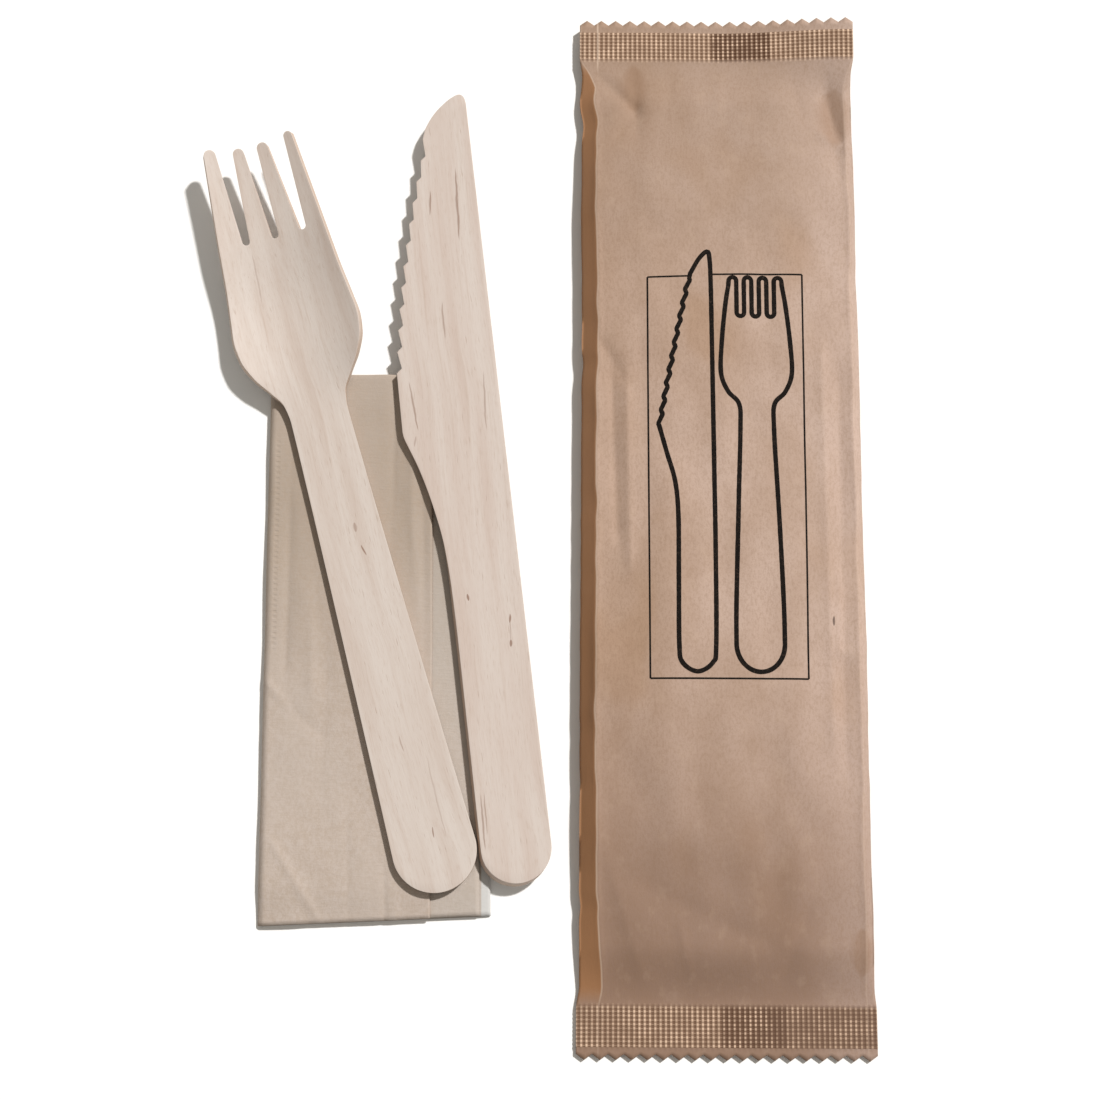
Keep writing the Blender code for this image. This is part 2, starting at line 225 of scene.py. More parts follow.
outer_ply, inner_ply = napkin_ply(0.0, NAPKIN_ROWS), napkin_ply(PLY_PITCH, NAPKIN_ROWS)[::-1]
bend = np.linspace(0, math.pi, END_FOLD_ROWS + 2)[1:-1, None, None]
end_fold = (outer_ply[-1] + inner_ply[0]) / 2 + (outer_ply[-1] - inner_ply[0]) / 2 * np.cos(bend)
end_fold[..., 1] += PLY_PITCH / 2 * np.sin(bend[..., 0])
tissue_points = turned(np.concatenate([outer_ply, end_fold, inner_ply]), NAPKIN_PLACE)
tissue_faces = grid_faces(*tissue_points.shape[:2])
napkin = make_piece("napkin", tissue_points, tissue_faces, "paper_napkin")
ply = napkin.modifiers.new("ply", "SOLIDIFY")
ply.thickness = PLY
ply.offset = 0


def add_node(tree, kind, sockets=(), **settings):
    """A shader node with its settings, its input sockets taking values or other nodes' outputs."""
    made = tree.nodes.new(kind)
    for setting, value in settings.items():
        setattr(made, setting, value)
    for key, value in dict(sockets).items():
        if isinstance(value, bpy.types.NodeSocket):
            tree.links.new(value, made.inputs[key])
        else:
            made.inputs[key].default_value = value
    return made


def calculate(tree, operation, *values, clamp=False):
    """One step of arithmetic on values that change over the surface."""
    made = add_node(tree, "ShaderNodeMath", enumerate(values), operation=operation, use_clamp=clamp)
    return made.outputs[0]


def times(tree, first, second):
    """The product of two values that change over the surface."""
    return calculate(tree, "MULTIPLY", first, second)


def between(tree, value, low, high):
    """A smooth mask: 0 where the value is below low, 1 where it is above high."""
    sockets = {"Value": value, "From Min": low, "From Max": high}
    return add_node(tree, "ShaderNodeMapRange", sockets, interpolation_type="SMOOTHSTEP").outputs[0]


def blend(tree, share, first, second, how="MIX"):
    """Two colours mixed, or multiplied, by a share."""
    made = add_node(tree, "ShaderNodeMix", data_type="RGBA", blend_type=how)
    for socket, value in zip((made.inputs[0], made.inputs[6], made.inputs[7]), (share, first, second)):
        if isinstance(value, bpy.types.NodeSocket):
            tree.links.new(value, socket)
        elif isinstance(value, tuple):
            socket.default_value = (*value, 1)
        else:
            socket.default_value = value
    return made.outputs[2]


def tint(tree, colour, mask, share, other):
    """The colour, taken towards the other one by a share of the mask."""
    return blend(tree, times(tree, mask, share), colour, other)


def stretched_noise(tree, vector, per_metre, detail=2.0, roughness=0.5):
    """Noise from 0 to 1 whose blots are as long as one over per_metre along each axis."""
    scaled = add_node(tree, "ShaderNodeVectorMath", {0: vector, 1: per_metre}, operation="MULTIPLY")
    sockets = {"Vector": scaled.outputs[0], "Scale": 1.0, "Detail": detail, "Roughness": roughness}
    return add_node(tree, "ShaderNodeTexNoise", sockets).outputs[0]


def new_group(name, inputs, outputs):
    """A shader node group with its named sockets, and its input and output nodes."""
    group = bpy.data.node_groups.new(name, "ShaderNodeTree")
    for direction, sockets in (("INPUT", inputs), ("OUTPUT", outputs)):
        for socket, kind in sockets:
            group.interface.new_socket(socket, in_out=direction, socket_type="NodeSocket" + kind)
    return group, group.nodes.new("NodeGroupInput"), group.nodes.new("NodeGroupOutput")


def new_material(name, place=(0, 0, 0)):
    """A material with its node tree, its shader, and coordinates in the axes of the piece at the place."""
    material = bpy.data.materials.new(name)
    material.use_nodes = True
    tree = material.node_tree
    local = add_node(
        tree,
        "ShaderNodeMapping",
        {"Vector": add_node(tree, "ShaderNodeTexCoord").outputs["Object"]},
        vector_type="TEXTURE",
    )
    local.inputs["Location"].default_value = (place[0], place[1], 0)
    local.inputs["Rotation"].default_value = (0, 0, place[2])
    return material, tree, tree.nodes["Principled BSDF"], local.outputs[0]


# Paper fibre: short pale and dark fibres and cloudy formation, the same in tissue and in kraft paper.
fibre_group, given, result = new_group(
    "paper_fibre",
    (("Vector", "Vector"), ("Fineness", "Float"), ("Run", "Float")),
    (("Fibre", "Float"), ("Cloud", "Float"), ("Height", "Float")),
)
fineness, run = given.outputs[1], given.outputs[2]
stretch = add_node(fibre_group, "ShaderNodeCombineXYZ", {0: fineness, 1: run, 2: fineness})
strands = stretched_noise(fibre_group, given.outputs[0], stretch.outputs[0], 3.0, 0.62)
fuzz = stretched_noise(fibre_group, given.outputs[0], (3600.0, 3200.0, 3600.0), 2.0, 0.6)
clouds = stretched_noise(fibre_group, given.outputs[0], (420.0, 300.0, 420.0), 3.0, 0.6)
mixed = calculate(fibre_group, "MULTIPLY_ADD", strands, 0.6, times(fibre_group, fuzz, 0.4))
fibre_group.links.new(mixed, result.inputs[0])
fibre_group.links.new(clouds, result.inputs[1])
fibre_group.links.new(calculate(fibre_group, "MULTIPLY_ADD", clouds, 0.5, mixed), result.inputs[2])

tissue, tree, shader, local = new_material("unbleached_tissue", NAPKIN_PLACE)
fibre = add_node(tree, "ShaderNodeGroup", node_tree=fibre_group)
tree.links.new(local, fibre.inputs[0])
fibre.inputs[1].default_value = 1500.0
fibre.inputs[2].default_value = 900.0
split = add_node(tree, "ShaderNodeSeparateXYZ", {0: local})
crepe = stretched_noise(tree, local, (420.0, 2300.0, 700.0), 2.0, 0.5)
near_shade = between(tree, split.outputs[1], 0.030, 0.085)
colour = blend(tree, near_shade, (0.495, 0.420, 0.372), (0.388, 0.320, 0.266))
grey = times(tree, between(tree, fibre.outputs[1], 0.66, 0.35), 0.16)
colour = blend(tree, grey, colour, (0.400, 0.315, 0.245))
thin = times(tree, between(tree, fibre.outputs[0], 0.62, 0.36), 0.40)
colour = blend(tree, thin, colour, (0.370, 0.285, 0.215))
broad = stretched_noise(tree, local, (70.0, 26.0, 70.0), 2.0, 0.5)
colour = tint(tree, colour, between(tree, broad, 0.42, 0.68), 0.35, (0.480, 0.412, 0.365))
third_leaf = between(tree, split.outputs[0], 0.03385, 0.03405)
colour = tint(tree, colour, third_leaf, 0.35, (0.470, 0.440, 0.405))
# Painted light: the strip of the lowest leaf that shows on the right is tinted a pale bluish white, as if it
# catches the light.
low_leaf_highlight = between(tree, split.outputs[0], 0.0436, 0.0438)
colour = tint(tree, colour, low_leaf_highlight, 0.7, (0.600, 0.615, 0.620))
bead_across = calculate(tree, "ABSOLUTE", calculate(tree, "SUBTRACT", split.outputs[0], BEAD_LINE[0]))
bead_along = calculate(tree, "SINE", times(tree, split.outputs[1], 2 * math.pi / BEAD_PITCH))
bead_run = times(
    tree,
    between(tree, split.outputs[1], BEAD_LINE[1], BEAD_LINE[1] + 0.004),
    between(tree, split.outputs[1], BEAD_LINE[2], BEAD_LINE[2] - 0.004),
)
beads = times(tree, between(tree, bead_across, 0.0006, 0.0001), between(tree, bead_along, -0.4, 0.6))
beads = times(tree, beads, bead_run)
colour = tint(tree, colour, beads, 0.15, (0.360, 0.290, 0.230))
tree.links.new(colour, shader.inputs["Base Color"])
shader.inputs["Roughness"].default_value = 0.95
shader.inputs["Specular IOR Level"].default_value = 0.2
relief = calculate(tree, "MULTIPLY_ADD", crepe, 0.9, fibre.outputs[2])
relief = calculate(tree, "MULTIPLY_ADD", beads, -0.9, relief)
bump = add_node(tree, "ShaderNodeBump", {"Strength": 0.75, "Distance": 0.00007, "Height": relief})
tree.links.new(bump.outputs[0], shader.inputs["Normal"])
napkin.data.materials.append(tissue)


# Fork: one birch veneer blank, cut to outline and hot-pressed so that the head is dished and its four tines
# rise. The cut edges are lightly tumbled round. It rests on the napkin.

FORK_LENGTH, VENEER, REST_HEIGHT = 0.1600, 0.0015, 0.0024
FORK_END_RADIUS, FORK_END_HALF = 0.0082, 0.00825
FORK_HALF_WIDTHS = (  # (v, half of the width there)
    (0.0082, 0.00825), (0.023, 0.0078), (0.043, 0.00725), (0.066, 0.00665), (0.088, 0.00615),
    (0.099, 0.00597), (0.103, 0.0065), (0.1065, 0.0087), (0.110, 0.0113), (0.114, 0.01305),
    (0.118, 0.01352), (0.122, 0.01315), (0.130, 0.01225), (0.1395, 0.01145), (0.150, 0.0104),
    (0.158, 0.00965),
)
TINE_ROOT, TINE_ROOT_GAP, GAP_MIDDLES = 0.1392, 0.0016, (-0.0056, 0.0008, 0.0070)
TINE_TIPS = (  # (u of its middle, width, how much shorter than the fork)
    (-0.0084, 0.0025, 0.0), (-0.00235, 0.0024, 0.001), (0.0030, 0.0024, 0.0011), (0.0090, 0.0018, 0.0007),
)
HEAD_START, HEAD_BLEND, DISH_RADIUS, HEAD_TILT = 0.097, 0.015, 0.034, 0.05
BOWL_START, BOWL_LENGTH, BOWL_DEPTH = 0.108, 0.034, 0.0009
RISE_START, TIP_RISE, RISE_POWER = 0.110, 0.0033, 1.25
TINE_COLUMNS, GAP_COLUMNS, TINE_ROWS = 10, 8, 34
END_ROWS, HANDLE_ROWS, HEAD_ROWS, ROOT_ROWS = 8, 60, 62, 12
EDGE_BREAK = 0.00012


def curve_through(points, at):
    """A smooth curve through (place, height) points: cubic pieces with harmonic-mean slopes, no overshoot."""
    place, height = np.array(points).T
    slope = np.diff(height) / np.diff(place)
    before, after = slope[:-1], slope[1:]
    one_way = before * after > 0
    tangent = np.zeros(len(place))
    tangent[1:-1] = np.where(one_way, 2 * before * after / np.where(one_way, before + after, 1), 0)
    tangent[0], tangent[-1] = slope[0], slope[-1]
    step = np.clip(np.searchsorted(place, at) - 1, 0, len(slope) - 1)
    width = place[step + 1] - place[step]
    t = np.clip((at - place[step]) / width, 0, 1)
    return (
        (1 + 2 * t) * (1 - t) ** 2 * height[step]
        + t * (1 - t) ** 2 * width * tangent[step]
        + t * t * (3 - 2 * t) * height[step + 1]
        - t * t * (1 - t) * width * tangent[step + 1]
    )


def fork_height(u, v):
    """Underside of the pressed blank: a parabola across the head, a shallow bowl, and tines that rise."""
    across = smooth_step((v - HEAD_START) / HEAD_BLEND) * (u * u / (2 * DISH_RADIUS) + HEAD_TILT * u)
    bowl = BOWL_DEPTH * np.sin(math.pi * np.clip((v - BOWL_START) / BOWL_LENGTH, 0, 1)) ** 2
    rise = TIP_RISE * np.clip((v - RISE_START) / (FORK_LENGTH - RISE_START), 0, 1) ** RISE_POWER
    return across - bowl + rise


def half_ellipse(left, right, base, depth, columns):
    """(u, v) of half an ellipse from left to right that bulges from v = base by the depth."""
    angle = np.linspace(math.pi, 0, columns + 1)
    middle, half = (left + right) / 2, (right - left) / 2
    return np.stack([middle + half * np.cos(angle), base + depth * np.sin(angle)], axis=-1)


def fork_grids():
    """(u, v) grids of the body and of the four tines: rows run from the handle's round end to the tips."""
    root_half = curve_through(FORK_HALF_WIDTHS, TINE_ROOT)
    edges = [-root_half]
    for middle in GAP_MIDDLES:
        edges += [middle - TINE_ROOT_GAP / 2, middle + TINE_ROOT_GAP / 2]
    edges.append(root_half)
    root = []
    for i, (left, right) in enumerate(zip(edges, edges[1:])):
        columns, depth = (GAP_COLUMNS, -TINE_ROOT_GAP / 2) if i % 2 else (TINE_COLUMNS, 0.0)
        root.append(half_ellipse(left, right, TINE_ROOT, depth, columns)[1 if i else 0 :])
        if not i % 2:
            root[-1][:, 0] = np.linspace(left, right, columns + 1)[1 if i else 0 :]
    root = np.concatenate(root)
    share = root[:, 0] / root_half
    v = np.concatenate([np.linspace(0.0165, 0.0965, HANDLE_ROWS), np.linspace(0.0975, 0.1350, HEAD_ROWS)])
    straight = np.stack(
        [curve_through(FORK_HALF_WIDTHS, v)[:, None] * share, v[:, None] + 0 * share], axis=-1
    )
    angle = math.pi + (share + 1) / 2 * math.pi
    end = np.stack([FORK_END_HALF * np.cos(angle), FORK_END_RADIUS * (1 + np.sin(angle))], axis=-1)
    t = np.linspace(0, 1, END_ROWS + 1)[:-1, None, None]
    round_end = end * (1 - t) + straight[0] * t
    round_end[..., 0] = end[:, 0] * (1 - t[..., 0]) + straight[0, :, 0] * t[..., 0]
    t = np.linspace(0, 1, ROOT_ROWS + 1)[1:, None, None]
    to_root = straight[-1] * (1 - t) + root * t
    to_root[..., 0] = curve_through(FORK_HALF_WIDTHS, 0.1350 + (TINE_ROOT - 0.1350) * t[..., 0]) * share
    body = np.concatenate([round_end, straight, to_root])

    tines = []
    for i, (middle, width, shorter) in enumerate(TINE_TIPS):
        left, right = edges[2 * i], edges[2 * i + 1]
        end_v = FORK_LENGTH - shorter - width / 2
        t = np.linspace(0, 1, TINE_ROWS + 1)[1:, None]
        from_u = left + (middle - width / 2 - left) * t
        to_u = right + (middle + width / 2 - right) * t
        across = np.linspace(0, 1, TINE_COLUMNS + 1)
        tip = half_ellipse(0, 1, 0.0, width / 2, TINE_COLUMNS)
        bulge = smooth_step((t - 0.75) / 0.25)
        across = across * (1 - bulge) + tip[:, 0] * bulge
        u = from_u + (to_u - from_u) * across
        tines.append(np.stack([u, TINE_ROOT + (end_v - TINE_ROOT) * t + tip[:, 1] * bulge], axis=-1))
    return body, tines


fork_body, fork_tines = fork_grids()
blank_points, blank_faces = [fork_body.reshape(-1, 2)], [grid_faces(*fork_body.shape[:2])]
body_end = len(blank_points[0]) - fork_body.shape[1]
for i, tine in enumerate(fork_tines):
    root_points = body_end + i * (TINE_COLUMNS + GAP_COLUMNS) + np.arange(TINE_COLUMNS + 1)
    counted = sum(len(points) for points in blank_points)
    next_row = counted + np.arange(TINE_COLUMNS + 1)
    blank_faces.append(np.stack([root_points[:-1], root_points[1:], next_row[1:], next_row[:-1]], axis=-1))
    blank_faces.append(grid_faces(TINE_ROWS, TINE_COLUMNS + 1, counted))
    blank_points.append(tine.reshape(-1, 2))
blank = np.concatenate(blank_points)
blank = np.column_stack([blank, REST_HEIGHT + fork_height(blank[:, 0], blank[:, 1])])
fork = make_piece("fork", turned(blank, FORK_PLACE), np.concatenate(blank_faces), "wooden_fork")


def tumble_edges(piece):
    """Rounds the cut edges, as tumbling does."""
    edges = piece.modifiers.new("tumbled_edges", "BEVEL")
    edges.width = EDGE_BREAK
    edges.segments = 3
    edges.limit_method = "ANGLE"
    edges.angle_limit = math.radians(48)


thickness = fork.modifiers.new("veneer", "SOLIDIFY")
thickness.thickness = VENEER
thickness.offset = 1
thickness.use_even_offset = True
tumble_edges(fork)

# Birch grain: pale pinkish wood with soft figure, long fine lines, short brown pores and a slight fuzz.
birch_group, given, result = new_group(
    "birch_grain",
    (("Vector", "Vector"), ("Pale", "Color"), ("Warm", "Color"), ("Line", "Color")),
    (("Color", "Color"), ("Roughness", "Float"), ("Height", "Float")),
)
vector, pale, warm, line_colour = given.outputs[:4]
waver = stretched_noise(birch_group, vector, (40.0, 22.0, 40.0), 2.0, 0.5)
sway = add_node(birch_group, "ShaderNodeVectorMath", {0: vector}, operation="ADD")
shift = times(birch_group, calculate(birch_group, "SUBTRACT", waver, 0.5), 0.004)
birch_group.links.new(add_node(birch_group, "ShaderNodeCombineXYZ", {0: shift}).outputs[0], sway.inputs[1])
swayed = sway.outputs[0]
figure = stretched_noise(birch_group, swayed, (330.0, 15.0, 330.0), 3.0, 0.55)
bands = stretched_noise(birch_group, swayed, (90.0, 30.0, 90.0), 2.0, 0.5)
grain = stretched_noise(birch_group, swayed, (1500.0, 34.0, 1500.0), 3.0, 0.6)
fine = stretched_noise(birch_group, swayed, (3900.0, 420.0, 3900.0), 3.0, 0.65)
pores = stretched_noise(birch_group, swayed, (5200.0, 330.0, 5200.0), 1.0, 0.5)
colour = blend(birch_group, between(birch_group, figure, 0.32, 0.78), pale, warm)
colour = blend(
    birch_group, times(birch_group, between(birch_group, bands, 0.45, 0.80), 0.45), colour, warm
)
lines = times(birch_group, between(birch_group, grain, 0.52, 0.80), 0.30)
colour = blend(birch_group, lines, colour, line_colour)
colour = blend(
    birch_group, times(birch_group, between(birch_group, fine, 0.48, 0.80), 0.34), colour, line_colour
)
pits = between(birch_group, pores, 0.69, 0.80)
colour = blend(birch_group, times(birch_group, pits, 0.45), colour, line_colour)
birch_group.links.new(colour, result.inputs[0])
birch_group.links.new(calculate(birch_group, "MULTIPLY_ADD", grain, 0.18, 0.52), result.inputs[1])
height = calculate(birch_group, "MULTIPLY_ADD", fine, 0.7, times(birch_group, grain, 0.5))
birch_group.links.new(calculate(birch_group, "MULTIPLY_ADD", pits, -0.8, height), result.inputs[2])

# A long thin spindle, as a mask: a brown fleck or bark pocket in the grain, and on the wrap also the painted
# shade of a dent.
spindle_group, given, result = new_group(
    "spindle_mark",
    (
        ("Vector", "Vector"), ("Centre", "Vector"),
        ("Half Length", "Float"), ("Half Width", "Float"), ("Lean", "Float"),
    ),
    (("Mask", "Float"),),
)
offset = add_node(
    spindle_group, "ShaderNodeVectorMath", {0: given.outputs[0], 1: given.outputs[1]}, operation="SUBTRACT"
)
offset = add_node(spindle_group, "ShaderNodeSeparateXYZ", {0: offset.outputs[0]})
wobble = stretched_noise(spindle_group, given.outputs[0], (300.0, 260.0, 300.0), 2.0, 0.6)
lean = times(spindle_group, offset.outputs[1], given.outputs[4])
aside = calculate(spindle_group, "SUBTRACT", offset.outputs[0], lean)
aside = calculate(
    spindle_group, "MULTIPLY_ADD", calculate(spindle_group, "SUBTRACT", wobble, 0.5), 0.0006, aside
)
off_centre = calculate(spindle_group, "ABSOLUTE", offset.outputs[1])
along = calculate(spindle_group, "DIVIDE", off_centre, given.outputs[2])
taper = calculate(spindle_group, "SUBTRACT", 1.0, calculate(spindle_group, "POWER", along, 2.0), clamp=True)
reach = times(spindle_group, given.outputs[3], calculate(spindle_group, "ADD", taper, 0.05))
near = calculate(spindle_group, "DIVIDE", calculate(spindle_group, "ABSOLUTE", aside), reach)
spindle = times(spindle_group, between(spindle_group, near, 1.3, 0.3), between(spindle_group, along, 1.0, 0.75)
)
spindle_group.links.new(spindle, result.inputs[0])


def birch_material(name, place, flecks, pale, warm):
    """Birch whose grain runs along the piece, with its own flecks and slightly browner cut sides."""
    material, tree, shader, local = new_material(name, place)
    grain = add_node(tree, "ShaderNodeGroup", node_tree=birch_group)
    tree.links.new(local, grain.inputs[0])
    grain.inputs[1].default_value = (*pale, 1)
    grain.inputs[2].default_value = (*warm, 1)
    grain.inputs[3].default_value = (0.400, 0.285, 0.215, 1)
    colour = grain.outputs[0]
    for (u, v), half_length, half_width, lean, strength in flecks:
        fleck = add_node(tree, "ShaderNodeGroup", node_tree=spindle_group)
        tree.links.new(local, fleck.inputs[0])
        fleck.inputs[1].default_value = (u, v, 0)
        fleck.inputs[2].default_value = half_length
        fleck.inputs[3].default_value = half_width
        fleck.inputs[4].default_value = lean
        colour = blend(
            tree, times(tree, fleck.outputs[0], strength), colour, (0.205, 0.105, 0.065)
        )
    normal = add_node(
        tree, "ShaderNodeSeparateXYZ", {0: add_node(tree, "ShaderNodeTexCoord").outputs["Normal"]}
    )
    upright = calculate(tree, "ABSOLUTE", normal.outputs[2])
    side = between(tree, upright, 0.62, 0.30)
    colour = tint(tree, colour, side, 0.55, (0.470, 0.330, 0.235))
    tree.links.new(colour, shader.inputs["Base Color"])
    tree.links.new(grain.outputs[1], shader.inputs["Roughness"])
    shader.inputs["Specular IOR Level"].default_value = 0.35
    bump = add_node(
        tree, "ShaderNodeBump", {"Strength": 0.6, "Distance": 0.00005, "Height": grain.outputs[2]}
    )
    tree.links.new(bump.outputs[0], shader.inputs["Normal"])
    return material


FORK_FLECKS = (  # (u, v), half length, half width, lean, strength
    ((0.0012, 0.0747), 0.0011, 0.00040, 0.1, 0.45),
    ((0.0016, 0.0697), 0.0013, 0.00020, -0.2, 0.75),
    ((0.0007, 0.0116), 0.0012, 0.00018, 0.1, 0.70),
    ((-0.0010, 0.0300), 0.0018, 0.00016, 0.0, 0.40),
    ((0.0030, 0.0180), 0.0090, 0.00018, 0.02, 0.25),
    ((-0.0052, 0.1310), 0.0060, 0.00020, 0.05, 0.25),
)
fork.data.materials.append(
    birch_material("birch_fork", FORK_PLACE, FORK_FLECKS, (0.590, 0.522, 0.478), (0.520, 0.432, 0.380))
)


# Knife: one flat birch veneer blank, its cutting edge stamped into eleven steps. The handle's cut leans, so
# a thin strip of its side shows along the left. It rests on the napkin beside the fork.

KNIFE_HALF = 0.0069
KNIFE_LEFT_EDGE = (  # (v, u) from the handle to the heel
    (0.0200, -0.0069), (0.030, -0.0069), (0.048, -0.0069), (0.060, -0.0071), (0.068, -0.0076),
    (0.0765, -0.0090), (0.0845, -0.0110), (0.0905, -0.0131), (0.0915, -0.01345), (0.0927, -0.0136),
)
TEETH, FIRST_TOOTH, LAST_TOOTH = 11, 0.1053, 0.1510
TOOTH_DEPTH, TOOTH_JOG = 0.0011, 0.00095
POINT_CURVE = (
    (0.1558, -0.0030), (0.1582, -0.0021), (0.1604, -0.00065), (0.1622, 0.0010), (0.1639, 0.0031),
    (0.16475, 0.0046), (0.1650, 0.0055), (0.1648, 0.0062), (0.1640, 0.0067), (0.1628, 0.0069),
)
KNIFE_COLUMNS, KNIFE_END_ROWS = 30, 9
CUT_SLANT = (-0.0005, -0.0005)


def spline_through(points, steps):
    """A smooth line through the points: Catmull-Rom cubics, each cut into the number of steps."""
    points = np.asarray(points, float)
    padded = np.concatenate([[2 * points[0] - points[1]], points, [2 * points[-1] - points[-2]]])
    p0, p1, p2, p3 = (padded[i : len(padded) - 3 + i, None] for i in range(4))
    t = np.linspace(0, 1, steps, endpoint=False)[None, :, None]
    square, cube = p0 - 2.5 * p1 + 2 * p2 - p3 / 2, 1.5 * (p1 - p2) + (p3 - p0) / 2
    line = p1 + t * ((p2 - p0) / 2 + t * (square + t * cube))
    return np.concatenate([line.reshape(-1, points.shape[1]), points[-1:]])


def knife_face():
    """(u, v) rows of the blank: a round end, the handle, the stepped edge and the tip's curve."""
    smooth = np.concatenate([np.linspace(0.0200, 0.050, 22)[:-1], np.linspace(0.050, 0.0927, 44)])
    edge = [(v, u) for v, u in zip(smooth, curve_through(KNIFE_LEFT_EDGE, smooth))]
    pitch = (LAST_TOOTH - FIRST_TOOTH) / (TEETH - 1)
    edge += [(v, -0.0136 + 0.0001 * (v - 0.0927) / 0.0126) for v in np.linspace(0.0948, 0.1032, 4)]
    for tooth in range(TEETH):
        share = tooth / (TEETH - 1)
        tip = -0.0135 + 0.00492 * share + 0.00468 * share**2
        v = FIRST_TOOTH + tooth * pitch
        edge += [(v, tip), (v + TOOTH_JOG, tip + TOOTH_DEPTH)]
    tip_line = spline_through(POINT_CURVE, 8)
    halfway = 25
    edge += [tuple(point) for point in tip_line[:halfway]]
    share = np.linspace(0, 1, KNIFE_COLUMNS + 1)
    v, left = np.array(edge).T
    rows = np.stack([left[:, None] + (KNIFE_HALF - left[:, None]) * share, v[:, None] + 0 * share], axis=-1)
    last_v, last_u = tip_line[halfway:].T
    at = share * (len(last_u) - 1)
    tip = np.stack([np.interp(at, np.arange(len(last)), last) for last in (last_u, last_v)], axis=-1)
    angle = math.pi * (1 + share)
    end = KNIFE_HALF * np.stack([np.cos(angle), 1 + np.sin(angle)], axis=-1)
    t = np.linspace(0, 1, KNIFE_END_ROWS + 1)[:-1, None, None]
    return np.concatenate([end * (1 - t) + rows[0] * t, rows, tip[None]])


def closed_body(upper, lower):
    """Points and faces of a closed body between two grids of points that match each other."""
    rows, columns = upper.shape[:2]
    count = rows * columns
    index = np.arange(count).reshape(rows, columns)
    rim = np.concatenate([index[0, :-1], index[:-1, -1], index[-1, :0:-1], index[:0:-1, 0]])
    after = np.roll(rim, -1)
    walls = np.stack([rim + count, after + count, after, rim], axis=-1)
    faces = grid_faces(rows, columns)
    points = np.concatenate([upper.reshape(-1, 3), lower.reshape(-1, 3)])
    return points, np.concatenate([faces, faces[:, ::-1] + count, walls])


face = knife_face()
leaning = 1 - smooth_step((face[..., 1:] - 0.052) / 0.022)
flat = np.zeros(face.shape[:2] + (1,))
knife_points, knife_faces = closed_body(
    np.concatenate([face, flat + REST_HEIGHT + VENEER], axis=-1),
    np.concatenate([face + leaning * np.array(CUT_SLANT), flat + REST_HEIGHT], axis=-1),
)
knife = make_piece("knife", turned(knife_points, KNIFE_PLACE), knife_faces, "wooden_knife")
tumble_edges(knife)
KNIFE_FLECKS = (  # (u, v), half length, half width, lean, strength
    ((0.0027, 0.1405), 0.0088, 0.00030, 0.055, 0.62),
    ((-0.0029, 0.1414), 0.0030, 0.00020, 0.10, 0.62),
    ((-0.0028, 0.1155), 0.0045, 0.00022, 0.03, 0.50),
    ((-0.0108, 0.0980), 0.0058, 0.00022, -0.07, 0.55),
    ((-0.0112, 0.0905), 0.0012, 0.00022, 0.3, 0.35),
    ((0.0038, 0.0975), 0.0068, 0.00020, 0.06, 0.45),
    ((-0.0040, 0.0572), 0.0008, 0.00026, 0.0, 0.80),
    ((0.0039, 0.0520), 0.0010, 0.00022, 0.1, 0.75),
    ((0.0035, 0.0470), 0.0008, 0.00030, 0.1, 0.75),
    ((0.0037, 0.0495), 0.0040, 0.00012, 0.08, 0.35),
    ((-0.0059, 0.0125), 0.0060, 0.00022, 0.02, 0.55),
    ((-0.0052, 0.0140), 0.0045, 0.00014, 0.02, 0.45),
)
knife.data.materials.append(
    birch_material("birch_knife", KNIFE_PLACE, KNIFE_FLECKS, (0.590, 0.515, 0.470), (0.530, 0.430, 0.378))
)


# Sealed wrap: a tube of brown kraft paper round a fork, a knife and a napkin. Its long back seal is folded
# flat underneath, and each end is pressed shut by a ribbed, beaded crimp and cut off in teeth.

WRAP_PLACE = (0.0392, -0.1078, 0.0)
WRAP_LENGTH, SEAL_HALF, BODY_HALF = 0.2156, 0.0290, 0.0285
LOWER_SEAL, UPPER_SEAL, SEAL_SKIN = 0.0098, 0.0087, 0.00022
LOWER_SEAL_HEIGHT, UPPER_SEAL_HEIGHT = 0.0007, 0.0021
PLAIN_STRIP, ROW_STEP = (0.0023, 0.0027), 0.0002  # uncrimped strip at each end, and rows a quarter bead apart
SEAL_TEETH, TOOTH = 19, 0.0011
BODY_COLUMNS = 114
CRIMP_RIBS, CRIMP_HEIGHT = 57, 0.00024
SHOULDER, SIDE_TOP, SIDE_UNDER = 0.0120, 0.0030, 0.0026
LEFT_FLANK, RIGHT_FLANK, FLANK_HEIGHT = 0.0031, 0.0016, 0.0056
CROWN_HEIGHT, CROWN_REACH, UNDER_TUCK = 0.0070, 0.016, 0.0060
FIN_LEFT, FIN_RIGHT, FIN_THICKNESS, FIN_RIB_PITCH = -0.0009, 0.0115, 0.00025, 0.0014
CORNER_CURL = 0.0024
END_SLOPE, END_FLATNESS = 0.036, 0.52  # length over which the flatter ends rise, and their share of height


PRESSED_FOLD = 0.0252  # how far left of the middle the left fold is pressed into the seals
SHADED_DENTS = (  # centre, half length, half width
    ((0.0246, 0.1932), 0.0075, 0.0038),
    ((-0.0176, 0.1998), 0.0060, 0.0030),
    ((0.0262, 0.0205), 0.0050, 0.0024),
)


def from_seal(y):
    """Distance from the nearer end seal, negative inside a seal."""
    return np.minimum(y - LOWER_SEAL, WRAP_LENGTH - UPPER_SEAL - y)


